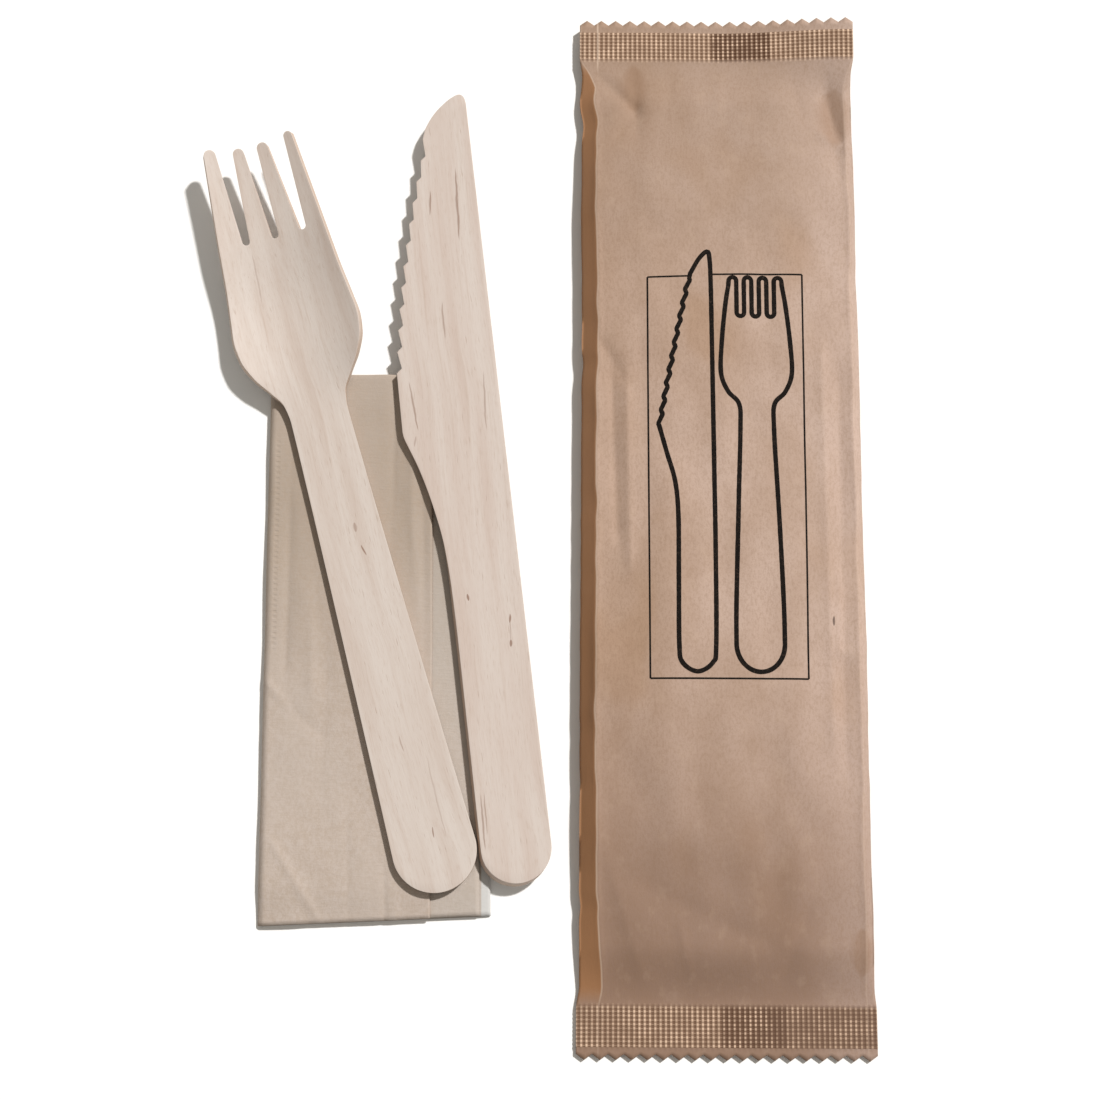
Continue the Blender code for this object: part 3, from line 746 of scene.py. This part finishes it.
def side_at(y, side):
    """x of the paper's outline: straight seals, and body sides that waver and have a few small nicks."""
    body = smooth_step(from_seal(y) / 0.004)
    waver = 0.00016 * soft_noise(y, 0 * y + side, 0.013, 11 if side < 0 else 12)
    waver = waver + 0.00008 * soft_noise(y, 0 * y + side, 0.0035, 13)
    nicks = 0 * y
    for at, width, depth in (
        (0.1965, 0.003, -0.0005),
        (0.1915, 0.0025, 0.0004),
        (0.1385, 0.002, 0.0003),
        (0.0290, 0.0018, 0.0003),
    ):
        nicks = nicks + (depth if side < 0 else 0.0) * np.exp(-(((y - at) / width) ** 2))
    return side * (SEAL_HALF + body * (BODY_HALF - SEAL_HALF + waver - nicks))


def flank_at(y, side):
    """Width of the flank from the outline to the long fold, which wavers in short scallops."""
    ramp = np.clip((WRAP_LENGTH - UPPER_SEAL - y) / 0.0072, 0.08, 1)
    if side > 0:
        return RIGHT_FLANK * ramp + 0.0002 * soft_noise(y, 0 * y, 0.009, 14) * ramp
    scallops = 0.00014 * soft_noise(y, 0 * y, 0.0042, 15) + 0.00018 * soft_noise(y, 0 * y, 0.021, 16)
    spread = 0.0012 * (1 - smooth_step((y - 0.008) / 0.030))
    return (LEFT_FLANK + scallops + spread) * ramp


WRAP_FOLDS = (  # start, end, width, height, in metres from the middle and the lower end
    ((0.0236, 0.2000), (0.0246, 0.1880), 0.0030, -0.00125),
    ((0.0232, 0.1975), (0.0262, 0.1870), 0.0012, -0.00040),
    ((0.0230, 0.1882), (0.0284, 0.1848), 0.0010, 0.00055),
    ((-0.0252, 0.2030), (-0.0190, 0.1965), 0.0011, -0.00085),
    ((-0.0176, 0.2045), (-0.0172, 0.1955), 0.0024, -0.00080),
    ((-0.0190, 0.1965), (-0.0215, 0.1935), 0.0012, 0.00036),
    ((-0.0178, 0.1935), (-0.0200, 0.1900), 0.0010, -0.00030),
    ((-0.0235, 0.1410), (-0.0205, 0.1360), 0.0014, -0.00040),
    ((-0.0222, 0.1340), (-0.0212, 0.1040), 0.0012, -0.00050),
    ((-0.0192, 0.1330), (-0.0186, 0.0980), 0.0011, 0.00044),
    ((-0.0165, 0.1420), (-0.0150, 0.1080), 0.0022, -0.00026),
    ((0.0231, 0.0930), (0.0228, 0.0790), 0.0006, 0.00034),
    ((0.0228, 0.0790), (0.0252, 0.0783), 0.0004, 0.00030),
    ((0.0205, 0.1380), (0.0212, 0.0640), 0.0014, 0.00050),
    ((0.0240, 0.1320), (0.0236, 0.0600), 0.0018, -0.00060),
    ((-0.0100, 0.0300), (0.0060, 0.0225), 0.0030, -0.00030),
    ((0.0105, 0.0150), (0.0150, 0.0260), 0.0016, -0.00034),
    ((-0.0215, 0.0330), (-0.0170, 0.0180), 0.0020, 0.00026),
    ((-0.0060, 0.0120), (-0.0085, 0.0230), 0.0012, 0.00022),
    ((0.0010, 0.2050), (0.0000, 0.1960), 0.0016, 0.00020),
    ((0.0150, 0.2055), (0.0175, 0.1950), 0.0014, -0.00022),
    ((-0.0090, 0.2055), (-0.0100, 0.1985), 0.0012, -0.00018),
)


def crumple(x, y):
    """Soft unevenness of the top: broad swells along the paper, pleats out of the crimps, single folds."""
    near_end = np.exp(-np.maximum(from_seal(y), 0) / 0.010)
    height = 0.00038 * soft_noise(x, y * 0.42, 0.0105, 21) + 0.00015 * soft_noise(x, y * 0.6, 0.0048, 22)
    height = height + 0.00022 * near_end * soft_noise(x, y * 0.25, 0.0040, 23)
    lower_third = 1 - smooth_step((y - 0.02) / 0.06)
    height = height + 0.00032 * lower_third * soft_noise(x, y, 0.0085, 24)
    for start, end, width, fold in WRAP_FOLDS:
        height = height + crease(x, y, start, end, width, fold)
    return height


def inward_and_flank(x, y):
    """Distance in from the outline, and the flank's width, on the nearer side."""
    left = x < 0
    inward = np.where(left, x - side_at(y, -1), side_at(y, 1) - x)
    return inward, np.where(left, flank_at(y, -1), flank_at(y, 1))


def seal_middle(x, y):
    """Height of the middle of the end seals: nearly flat, with the upper right corner curled up."""
    lift = CORNER_CURL * smooth_step(x / SEAL_HALF) * smooth_step((y - 0.15) / (WRAP_LENGTH - 0.15)) ** 4
    height = np.where(y < WRAP_LENGTH / 2, LOWER_SEAL_HEIGHT, UPPER_SEAL_HEIGHT)
    return height + lift + 0.00016 * soft_noise(x, y * 0.2, 0.013, 25)


def crimp(x, y):
    """0 to 1: ribs across the seal times beads along them, only in the crimped strips."""
    lower = (y > PLAIN_STRIP[0] - 1e-7) & (y < LOWER_SEAL + 1e-7)
    upper = (y < WRAP_LENGTH - PLAIN_STRIP[1] + 1e-7) & (y > WRAP_LENGTH - UPPER_SEAL - 1e-7)
    ribs = 0.5 + 0.5 * np.cos(math.pi * CRIMP_RIBS * (x / SEAL_HALF + 1))
    phase = np.where(lower, y - PLAIN_STRIP[0], WRAP_LENGTH - PLAIN_STRIP[1] - y)
    beads = 0.5 - 0.5 * np.cos(math.pi * phase / (2 * ROW_STEP))
    return np.where(lower | upper, ribs * (0.35 + 0.65 * beads), 0.0)


def wrap_top(x, y):
    """Top of the wrap: seals, sloping flank up to the long fold, then the crown; the crumple lies on it."""
    body = smooth_step(from_seal(y) / SHOULDER)
    inward, flank_width = inward_and_flank(x, y)
    rise = np.clip(inward / flank_width, 0, 1)
    flank = SIDE_TOP + (FLANK_HEIGHT - SIDE_TOP) * rise
    full_height = END_FLATNESS + (1 - END_FLATNESS) * smooth_step(from_seal(y) / END_SLOPE)
    crown = (CROWN_HEIGHT - FLANK_HEIGHT) * smooth_step((inward - flank_width) / CROWN_REACH)
    lip = 0.00016 * np.exp(-(((inward - flank_width) / 0.0005) ** 2))
    top_side = smooth_step((inward - 0.4 * flank_width) / (0.8 * flank_width))
    full = (flank + crown) * full_height + lip + crumple(x, y) * top_side
    seal = seal_middle(x, y) + SEAL_SKIN + CRIMP_HEIGHT * (crimp(x, y) - 0.5)
    return (1 - body) * seal + body * full


def wrap_underside(x, y):
    """Underside: seals, a flat bottom that curls up to the sides, and the back seal folded flat on it."""
    body = smooth_step(from_seal(y) / SHOULDER)
    inward, _ = inward_and_flank(x, y)
    full_height = END_FLATNESS + (1 - END_FLATNESS) * smooth_step(from_seal(y) / END_SLOPE)
    tuck = SIDE_UNDER * full_height * (1 - smooth_step(inward / UNDER_TUCK))
    on_fin = (x > FIN_LEFT) & (x < FIN_RIGHT)
    fin_ribs = 0.00006 * (1 + np.cos(2 * math.pi * x / FIN_RIB_PITCH))
    uneven = 0.00010 * (1 + soft_noise(x, y * 0.5, 0.008, 26))
    bottom = tuck + np.where(on_fin, fin_ribs, FIN_THICKNESS + uneven)
    seal = seal_middle(x, y) - SEAL_SKIN - np.where(on_fin, FIN_THICKNESS / 2, 0)
    seal = seal + CRIMP_HEIGHT * (crimp(x, y) - 0.5)
    return (1 - body) * seal + body * bottom


def wrap_rows():
    """y of the rows: fine in both crimps and 1 mm apart between them."""
    plain = PLAIN_STRIP[0] * np.array([0, 0.55, 0.8])
    lower = np.concatenate([plain, PLAIN_STRIP[0] + ROW_STEP * np.arange(38)])
    plain = PLAIN_STRIP[1] * np.array([0, 0.55, 0.8])
    upper = WRAP_LENGTH - np.concatenate([plain, PLAIN_STRIP[1] + ROW_STEP * np.arange(31)])[::-1]
    body = np.linspace(lower[-1], upper[0], 198)[1:-1]
    return lower, body, upper


def skin_points(y, columns, height):
    """Points of one skin on rows y: even columns between the two outlines, with teeth at the ends."""
    share, along = np.meshgrid(np.linspace(-1, 1, columns + 1), y)
    x = np.where(share < 0, -share * side_at(along, -1), share * side_at(along, 1))
    points = np.stack([x, along, height(x, along)], axis=-1)
    teeth = TOOTH * np.abs((share + 1) * SEAL_TEETH % 2 - 1)
    to_top = WRAP_LENGTH - along
    end = np.maximum(1 - along / PLAIN_STRIP[0], 0) - np.maximum(1 - to_top / PLAIN_STRIP[1], 0)
    points[..., 1] += teeth * end
    return points


def joining_faces(fine_row, coarse_row):
    """Three triangles for each coarse edge and the two fine edges below it."""
    a, m, b = fine_row[0:-2:2], fine_row[1:-1:2], fine_row[2::2]
    c, d = coarse_row[:-1], coarse_row[1:]
    return np.concatenate([np.stack(t, axis=-1) for t in ((a, m, c), (m, d, c), (m, b, d))])


def skin(height):
    """Points, faces and the closed rim of one skin: fine crimps at both ends and a coarser body between."""
    lower_y, body_y, upper_y = wrap_rows()
    fine = 2 * BODY_COLUMNS
    row_sets = ((lower_y, fine), (body_y, BODY_COLUMNS), (upper_y, fine))
    blocks = [skin_points(y, columns, height) for y, columns in row_sets]
    starts = np.cumsum([0] + [block.shape[0] * block.shape[1] for block in blocks])
    index = [np.arange(a, b).reshape(block.shape[:2]) for a, b, block in zip(starts, starts[1:], blocks)]
    quads = np.concatenate([grid_faces(*block.shape[:2], first) for block, first in zip(blocks, starts)])
    lower_join = joining_faces(index[0][-1], index[1][0])
    upper_join = joining_faces(index[2][0], index[1][-1])[:, ::-1]
    right = np.concatenate([block[:, -1] for block in index])
    left = np.concatenate([block[:, 0] for block in index])
    rim = np.concatenate([index[0][0, :-1], right[:-1], index[2][-1, :0:-1], left[:0:-1]])
    points = np.concatenate([block.reshape(-1, 3) for block in blocks])
    faces = [tuple(f) for f in quads] + [tuple(f) for f in np.concatenate([lower_join, upper_join])]
    return points, faces, rim, blocks[1]


top_points, top_faces, rim, paper_grid = skin(wrap_top)
under_points, under_faces, _, _ = skin(wrap_underside)
count = len(top_points)
after = np.roll(rim, -1)
rim_faces = [tuple(f) for f in np.stack([rim + count, after + count, after, rim], axis=-1)]
under_faces = [tuple(count + i for i in f[::-1]) for f in under_faces]
wrap_points = np.concatenate([top_points, under_points])
wrap = make_piece(
    "wrap", turned(wrap_points, WRAP_PLACE), top_faces + under_faces + rim_faces, "sealed_wrap"
)


def give_values(piece, name, values):
    """One number for each point of the mesh, which the material reads by name."""
    piece.data.attributes.new(name, "FLOAT", "POINT").data.foreach_set("value", values.astype(np.float32))


x, y = wrap_points[:, 0], wrap_points[:, 1]
inward, flank_width = inward_and_flank(x, y)
in_crimp = ((y > PLAIN_STRIP[0]) & (y < LOWER_SEAL + 0.0001)) | (
    (y < WRAP_LENGTH - PLAIN_STRIP[1]) & (y > WRAP_LENGTH - UPPER_SEAL - 0.0001)
)
give_values(wrap, "in_crimp", in_crimp * 1.0)
give_values(wrap, "past_fold", inward - flank_width)
give_values(wrap, "left_side", (x < 0) * smooth_step(from_seal(y) / 0.004))

kraft, tree, shader, local = new_material("kraft_paper", WRAP_PLACE)
fibre = add_node(tree, "ShaderNodeGroup", node_tree=fibre_group)
tree.links.new(local, fibre.inputs[0])
fibre.inputs[1].default_value = 2100.0
fibre.inputs[2].default_value = 1100.0
split = add_node(tree, "ShaderNodeSeparateXYZ", {0: local})
lines = stretched_noise(tree, local, (1900.0, 420.0, 400.0), 3.0, 0.6)
patches = stretched_noise(tree, local, (85.0, 55.0, 85.0), 3.0, 0.55)
stains = stretched_noise(tree, local, (48.0, 34.0, 48.0), 2.0, 0.5)
colour = blend(tree, between(tree, patches, 0.34, 0.68), (0.425, 0.298, 0.230), (0.490, 0.358, 0.292))
colour = tint(tree, colour, between(tree, stains, 0.54, 0.70), 0.45, (0.345, 0.205, 0.118))
leftwards = between(tree, split.outputs[0], 0.004, -0.026)
colour = tint(tree, colour, leftwards, 0.28, (0.345, 0.205, 0.118))
downwards = between(tree, split.outputs[1], 0.092, 0.006)
colour = tint(tree, colour, downwards, 0.90, (0.238, 0.146, 0.102))
upwards = between(tree, split.outputs[1], 0.150, 0.192)
colour = tint(tree, colour, upwards, 0.55, (0.300, 0.205, 0.150))
rightwards = between(tree, split.outputs[0], 0.012, 0.027)
colour = tint(tree, colour, rightwards, 0.30, (0.560, 0.430, 0.380))
colour = tint(tree, colour, between(tree, lines, 0.48, 0.72), 0.16, (0.280, 0.175, 0.110))
colour = tint(tree, colour, between(tree, fibre.outputs[0], 0.56, 0.38), 0.28, (0.250, 0.150, 0.090))
colour = tint(tree, colour, between(tree, fibre.outputs[1], 0.50, 0.74), 0.10, (0.560, 0.415, 0.310))
for centre, half_length, half_width in SHADED_DENTS:
    dent = add_node(tree, "ShaderNodeGroup", node_tree=spindle_group)
    tree.links.new(local, dent.inputs[0])
    dent.inputs[1].default_value = (*centre, 0)
    dent.inputs[2].default_value = half_length
    dent.inputs[3].default_value = half_width
    colour = tint(tree, colour, dent.outputs[0], 0.42, (0.250, 0.140, 0.078))
past_fold = add_node(tree, "ShaderNodeAttribute", attribute_name="past_fold").outputs["Fac"]
left_side = add_node(tree, "ShaderNodeAttribute", attribute_name="left_side").outputs["Fac"]
# Painted shade: the left flank, which faces away from the sun, is tinted a darker orange-brown.
flank = times(tree, left_side, between(tree, past_fold, 0.0001, -0.0003))
colour = tint(tree, colour, flank, 0.88, (0.300, 0.142, 0.060))
# A thin pale line along the long folds, stronger on the left, and along the left fold where it is pressed
# into the top seal: partly worn fibres, partly a painted highlight where the crease catches the light.
from_fold = calculate(tree, "ABSOLUTE", past_fold)
fold_wear_and_highlight = calculate(tree, "MULTIPLY_ADD", left_side, 0.22, 0.12)
wear_and_highlight = times(tree, between(tree, from_fold, 0.00026, 0.00004), fold_wear_and_highlight)
off_fold = calculate(tree, "ABSOLUTE", calculate(tree, "ADD", split.outputs[0], PRESSED_FOLD))
pressed_fold = between(tree, off_fold, 0.00028, 0.00008)
seal_end = between(tree, split.outputs[1], WRAP_LENGTH - UPPER_SEAL - 0.004, WRAP_LENGTH - UPPER_SEAL)
pressed_fold = times(tree, pressed_fold, seal_end)
pressed = add_node(tree, "ShaderNodeAttribute", attribute_name="in_crimp").outputs["Fac"]
rib_turn = math.pi * CRIMP_RIBS
rib_phase = calculate(tree, "MULTIPLY_ADD", split.outputs[0], rib_turn / SEAL_HALF, rib_turn)
rib_wave = calculate(tree, "COSINE", rib_phase)
from_lower = calculate(tree, "SUBTRACT", split.outputs[1], PLAIN_STRIP[0])
from_upper = calculate(tree, "SUBTRACT", WRAP_LENGTH - PLAIN_STRIP[1], split.outputs[1])
into_strip = calculate(tree, "MINIMUM", from_lower, from_upper)
bead_wave = calculate(tree, "COSINE", times(tree, into_strip, math.pi / (2 * ROW_STEP)))
# Painted light and shade of the crimps: rib crests and bead rows are painted bright and the valleys between
# them dark. In the back seal's zone and on the right of the lower seal, the valleys get still darker painted
# shade. The lower seal is also darker towards its right.
patchy = stretched_noise(tree, local, (260.0, 420.0, 260.0), 2.0, 0.6)
bead_share = calculate(tree, "MULTIPLY_ADD", between(tree, bead_wave, 0.75, -0.35), 0.55, 0.45)
rib_highlight = times(tree, between(tree, rib_wave, -0.35, 0.85), bead_share)
bead_row_highlight = times(tree, between(tree, bead_wave, -0.45, -0.95), 0.40)
patch_share = calculate(tree, "MULTIPLY_ADD", between(tree, patchy, 0.35, 0.65), 0.35, 0.65)
rib_highlight = times(tree, calculate(tree, "MAXIMUM", rib_highlight, bead_row_highlight), patch_share)
crimp_lit_and_shaded = blend(tree, rib_highlight, (0.165, 0.088, 0.049), (0.740, 0.530, 0.385))
fin_zone = times(
    tree,
    between(tree, split.outputs[0], FIN_LEFT - 0.0004, FIN_LEFT + 0.0004),
    between(tree, split.outputs[0], FIN_RIGHT + 0.0004, FIN_RIGHT - 0.0004),
)
valley_shade = calculate(tree, "SUBTRACT", 1.0, rib_highlight)
fin_shade = times(tree, times(tree, fin_zone, valley_shade), 0.92)
crimp_lit_and_shaded = blend(tree, fin_shade, crimp_lit_and_shaded, (0.075, 0.027, 0.008))
lower_seal = between(tree, split.outputs[1], 0.012, 0.0100)
lower_right = calculate(tree, "MULTIPLY_ADD", between(tree, split.outputs[0], 0.002, 0.016), 0.40, 0.32)
lower_shade = times(tree, lower_seal, times(tree, lower_right, valley_shade))
crimp_lit_and_shaded = blend(tree, lower_shade, crimp_lit_and_shaded, (0.110, 0.060, 0.038))
lower_all = times(tree, times(tree, lower_seal, lower_right), 0.42)
crimp_lit_and_shaded = blend(tree, lower_all, crimp_lit_and_shaded, (0.170, 0.095, 0.060))
colour = blend(tree, pressed, colour, crimp_lit_and_shaded)
# Partly wear and partly painted highlight: the pale line is laid on the folds here.
worn_fold_and_highlight = calculate(tree, "MAXIMUM", wear_and_highlight, times(tree, pressed_fold, 0.6))
colour = blend(tree, worn_fold_and_highlight, colour, (0.660, 0.510, 0.400))
fleck = add_node(tree, "ShaderNodeGroup", node_tree=spindle_group)
tree.links.new(local, fleck.inputs[0])
fleck.inputs[1].default_value = (0.0217, 0.0848, 0)
fleck.inputs[2].default_value = 0.0011
fleck.inputs[3].default_value = 0.0003
colour = tint(tree, colour, fleck.outputs[0], 0.8, (0.060, 0.035, 0.025))
tree.links.new(colour, shader.inputs["Base Color"])
tree.links.new(calculate(tree, "MULTIPLY_ADD", fibre.outputs[0], 0.25, 0.60), shader.inputs["Roughness"])
shader.inputs["Specular IOR Level"].default_value = 0.3
relief = calculate(tree, "MULTIPLY_ADD", lines, 0.8, fibre.outputs[2])
bump = add_node(tree, "ShaderNodeBump", {"Strength": 0.5, "Distance": 0.00005, "Height": relief})
tree.links.new(bump.outputs[0], shader.inputs["Normal"])
wrap.data.materials.append(kraft)


# Print: plain outlines of a knife and a fork inside a thin frame, in dark brown ink on the wrap's face.
# Each line is a narrow band of ink that lies on the paper.

INK_LIFT, OUTLINE_WIDTH, FRAME_WIDTH = 0.000025, 0.00094, 0.00036
FORK_AXIS, TINE_TOP, SLOT_FOOT = 0.0071, 0.1562, 0.1478
PRINT_TEETH = 11


def height_on_paper(x, y):
    """Height of the wrap's top face, read between the four nearest points of its own grid."""
    rows, columns = paper_grid.shape[:2]
    along = (y - paper_grid[0, 0, 1]) / (paper_grid[-1, 0, 1] - paper_grid[0, 0, 1]) * (rows - 1)
    share = np.where(x < 0, -x / side_at(y, -1), x / side_at(y, 1))
    across = (share + 1) / 2 * (columns - 1)
    i, j = np.floor(across).astype(int), np.floor(along).astype(int)
    s, t, z = across - i, along - j, paper_grid[..., 2]
    lower = z[j, i] * (1 - s) + z[j, i + 1] * s
    upper = z[j + 1, i] * (1 - s) + z[j + 1, i + 1] * s
    return lower * (1 - t) + upper * t


def even_steps(line, step):
    """The same line with points a step apart."""
    length = np.concatenate([[0], np.cumsum(np.linalg.norm(np.diff(line, axis=0), axis=1))])
    at = np.linspace(0, length[-1], max(2, int(length[-1] / step) + 1))
    return np.stack([np.interp(at, length, line[:, 0]), np.interp(at, length, line[:, 1])], axis=-1)


def ink_band(line, width, closed):
    """Points of a band along the line, five across, from half a width on one side to half on the other."""
    line = even_steps(np.asarray(line, float), 0.00035)
    if closed:
        tangent = np.roll(line, -1, axis=0) - np.roll(line, 1, axis=0)
        tangent[0] = tangent[-1] = line[1] - line[-2]
    else:
        tangent = np.gradient(line, axis=0)
    tangent /= np.linalg.norm(tangent, axis=1)[:, None]
    normal = np.stack([tangent[:, 1], -tangent[:, 0]], axis=-1)
    ragged = 1 + 0.05 * soft_noise(line[:, 0], line[:, 1], 0.0007, 31)
    aside = np.array([-0.5, -0.25, 0, 0.25, 0.5])[None, :, None] * (width * ragged)[:, None, None]
    band = line[:, None, :] + normal[:, None, :] * aside
    height = height_on_paper(band[..., 0], band[..., 1]) + INK_LIFT
    return np.concatenate([band, height[..., None]], axis=-1)


def knife_outline():
    """Round handle end, straight spine, rounded point and a wavy cutting edge down to the heel."""
    handle = [(-0.0127, 0.1246), (-0.0112, 0.1190), (-0.0096, 0.1130), (-0.0090, 0.1060), (-0.0090, 0.0930)]
    handle += [(-0.0090, 0.0800), (-0.0084, 0.0762), (-0.0054, 0.0744), (-0.0024, 0.0762), (-0.0017, 0.0800)]
    handle += [(-0.0016, 0.1000), (-0.0018, 0.1300), (-0.0020, 0.1540), (-0.0022, 0.1602), (-0.0027, 0.1618)]
    handle += [(-0.0044, 0.1602), (-0.0062, 0.1570)]
    share = np.linspace(0, 1, 12 * PRINT_TEETH + 1)
    edge = np.stack([-0.0064 - 0.0063 * share**0.9, 0.1560 - 0.0314 * share], axis=-1)
    phase = 2 * math.pi * PRINT_TEETH * share
    edge[:, 0] += 0.00022 * np.sin(phase) + 0.00007 * np.sin(2 * phase)
    return np.concatenate([spline_through(handle, 12), edge])


def fork_outline():
    """Round handle end, a waisted neck, a wide head and four round tines with round slots between them."""
    half = [(0.0048, 0.0800), (0.0047, 0.0880), (0.0040, 0.1080), (0.0034, 0.1240), (0.0036, 0.1292)]
    half += [(0.0058, 0.1318), (0.0072, 0.1356), (0.0070, 0.1420), (0.0062, 0.1500), (0.0055, 0.1545)]
    turn = np.linspace(0, math.pi / 2, 16)[:-1]
    round_end = np.stack([0.0048 * np.sin(turn), 0.0800 - 0.0056 * np.cos(turn)], axis=-1)
    side = np.concatenate([round_end, spline_through(half, 12)])
    pitch, tine, slot = 0.0031, 0.00078, 0.00077
    right = [side]
    angle = np.linspace(0, math.pi, 13)
    for i in range(2):
        middle = 1.5 * pitch - i * pitch
        rise = TINE_TOP - tine + tine * np.sin(angle)
        right.append(np.stack([middle + tine * np.cos(angle), rise], axis=-1))
        gap = middle - pitch / 2
        turn = angle if i == 0 else angle[:7]
        right.append(np.stack([gap + slot * np.cos(turn), SLOT_FOOT + slot - slot * np.sin(turn)], axis=-1))
    right = np.concatenate(right)
    left = right[::-1] * np.array([-1, 1])
    return np.concatenate([right, left]) + np.array([FORK_AXIS, 0])


frame_sides = (
    ((-0.0150, 0.1562), (-0.0066, 0.1565)),
    ((-0.0016, 0.1568), (0.0168, 0.1570)),
    ((0.0168, 0.1570), (0.0165, 0.0731)),
    ((0.0165, 0.0731), (-0.0147, 0.0730)),
    ((-0.0147, 0.0730), (-0.0150, 0.1562)),
)
bands = [ink_band(knife_outline(), OUTLINE_WIDTH, True), ink_band(fork_outline(), OUTLINE_WIDTH, True)]
bands += [ink_band(side, FRAME_WIDTH, False) for side in frame_sides]
starts = np.cumsum([0] + [band.shape[0] * band.shape[1] for band in bands])
ink_points = np.concatenate([band.reshape(-1, 3) for band in bands])
ink_faces = np.concatenate([grid_faces(*band.shape[:2], first) for band, first in zip(bands, starts)])
print_lines = make_piece("printed_outlines", turned(ink_points, WRAP_PLACE), ink_faces, None)

ink, tree, shader, local = new_material("brown_black_ink", WRAP_PLACE)
worn = stretched_noise(tree, local, (2600.0, 1900.0, 2600.0), 3.0, 0.6)
colour = blend(tree, between(tree, worn, 0.50, 0.78), (0.007, 0.005, 0.004), (0.040, 0.026, 0.019))
tree.links.new(colour, shader.inputs["Base Color"])
tree.links.new(calculate(tree, "MULTIPLY_ADD", worn, 0.2, 0.75), shader.inputs["Roughness"])
shader.inputs["Specular IOR Level"].default_value = 0.12
print_lines.data.materials.append(ink)


# Floor, light and camera: a white table in hard light from the upper right, seen almost from straight above.

FLOOR_SIDE = 3.0
floor_mesh = bpy.data.meshes.new("floor")
floor_corners = [(x * FLOOR_SIDE, y * FLOOR_SIDE, 0) for x, y in ((-1, -1), (1, -1), (1, 1), (-1, 1))]
floor_mesh.from_pydata(floor_corners, [], [(0, 1, 2, 3)])
floor = new_object("floor", floor_mesh)
floor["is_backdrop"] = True
white, tree, shader, _ = new_material("white_table")
shader.inputs["Base Color"].default_value = (0.93, 0.93, 0.93, 1)
shader.inputs["Roughness"].default_value = 0.9
floor_mesh.materials.append(white)

SUN_TOWARDS, SUN_STRENGTH, SUN_ANGLE = (0.65, 0.61, 1.0), 3.7, math.radians(4)
sun = bpy.data.lights.new("sun", "SUN")
sun.energy = SUN_STRENGTH
sun.angle = SUN_ANGLE
sun.color = (1.0, 0.985, 0.96)
sun_object = new_object("sun", sun)
direction = np.array(SUN_TOWARDS) / np.linalg.norm(SUN_TOWARDS)
side = np.cross((0, 1, 0), direction)
side /= np.linalg.norm(side)
sun_axes = np.column_stack([side, np.cross(direction, side), direction])
sun_object.matrix_world = Matrix(sun_axes.tolist()).to_4x4()

world = bpy.data.worlds.new("studio")
world.use_nodes = True
world.node_tree.nodes["Background"].inputs["Color"].default_value = (1.0, 0.955, 0.87, 1)
world.node_tree.nodes["Background"].inputs["Strength"].default_value = 0.34
bpy.context.scene.world = world
bpy.context.scene.view_settings.view_transform = "Standard"

CAMERA_PLACE, CAMERA_AIM = (0.00513, -0.08920, 0.38343), (0.00457, -0.00770, 0.0)
CAMERA_TURN = math.radians(0.395)
LENS, SENSOR = 63.2, 36.0
camera = bpy.data.cameras.new("camera")
camera.lens = LENS
camera.sensor_width = SENSOR
camera_object = new_object("camera", camera)
backward = np.array(CAMERA_PLACE) - np.array(CAMERA_AIM)
backward /= np.linalg.norm(backward)
rightward = np.array([math.cos(CAMERA_TURN), math.sin(CAMERA_TURN), 0.0])
upward = np.cross(backward, rightward)
upward /= np.linalg.norm(upward)
rightward = np.cross(upward, backward)
camera_axes = np.column_stack([rightward, upward, backward])
camera_object.matrix_world = Matrix.Translation(CAMERA_PLACE) @ Matrix(camera_axes.tolist()).to_4x4()
bpy.context.scene.camera = camera_object

bpy.context.view_layer.update()
boxes = {"cad": cad_box, "visual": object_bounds()}
boxes = {name: [[float(v) for v in corner] for corner in box] for name, box in boxes.items()}
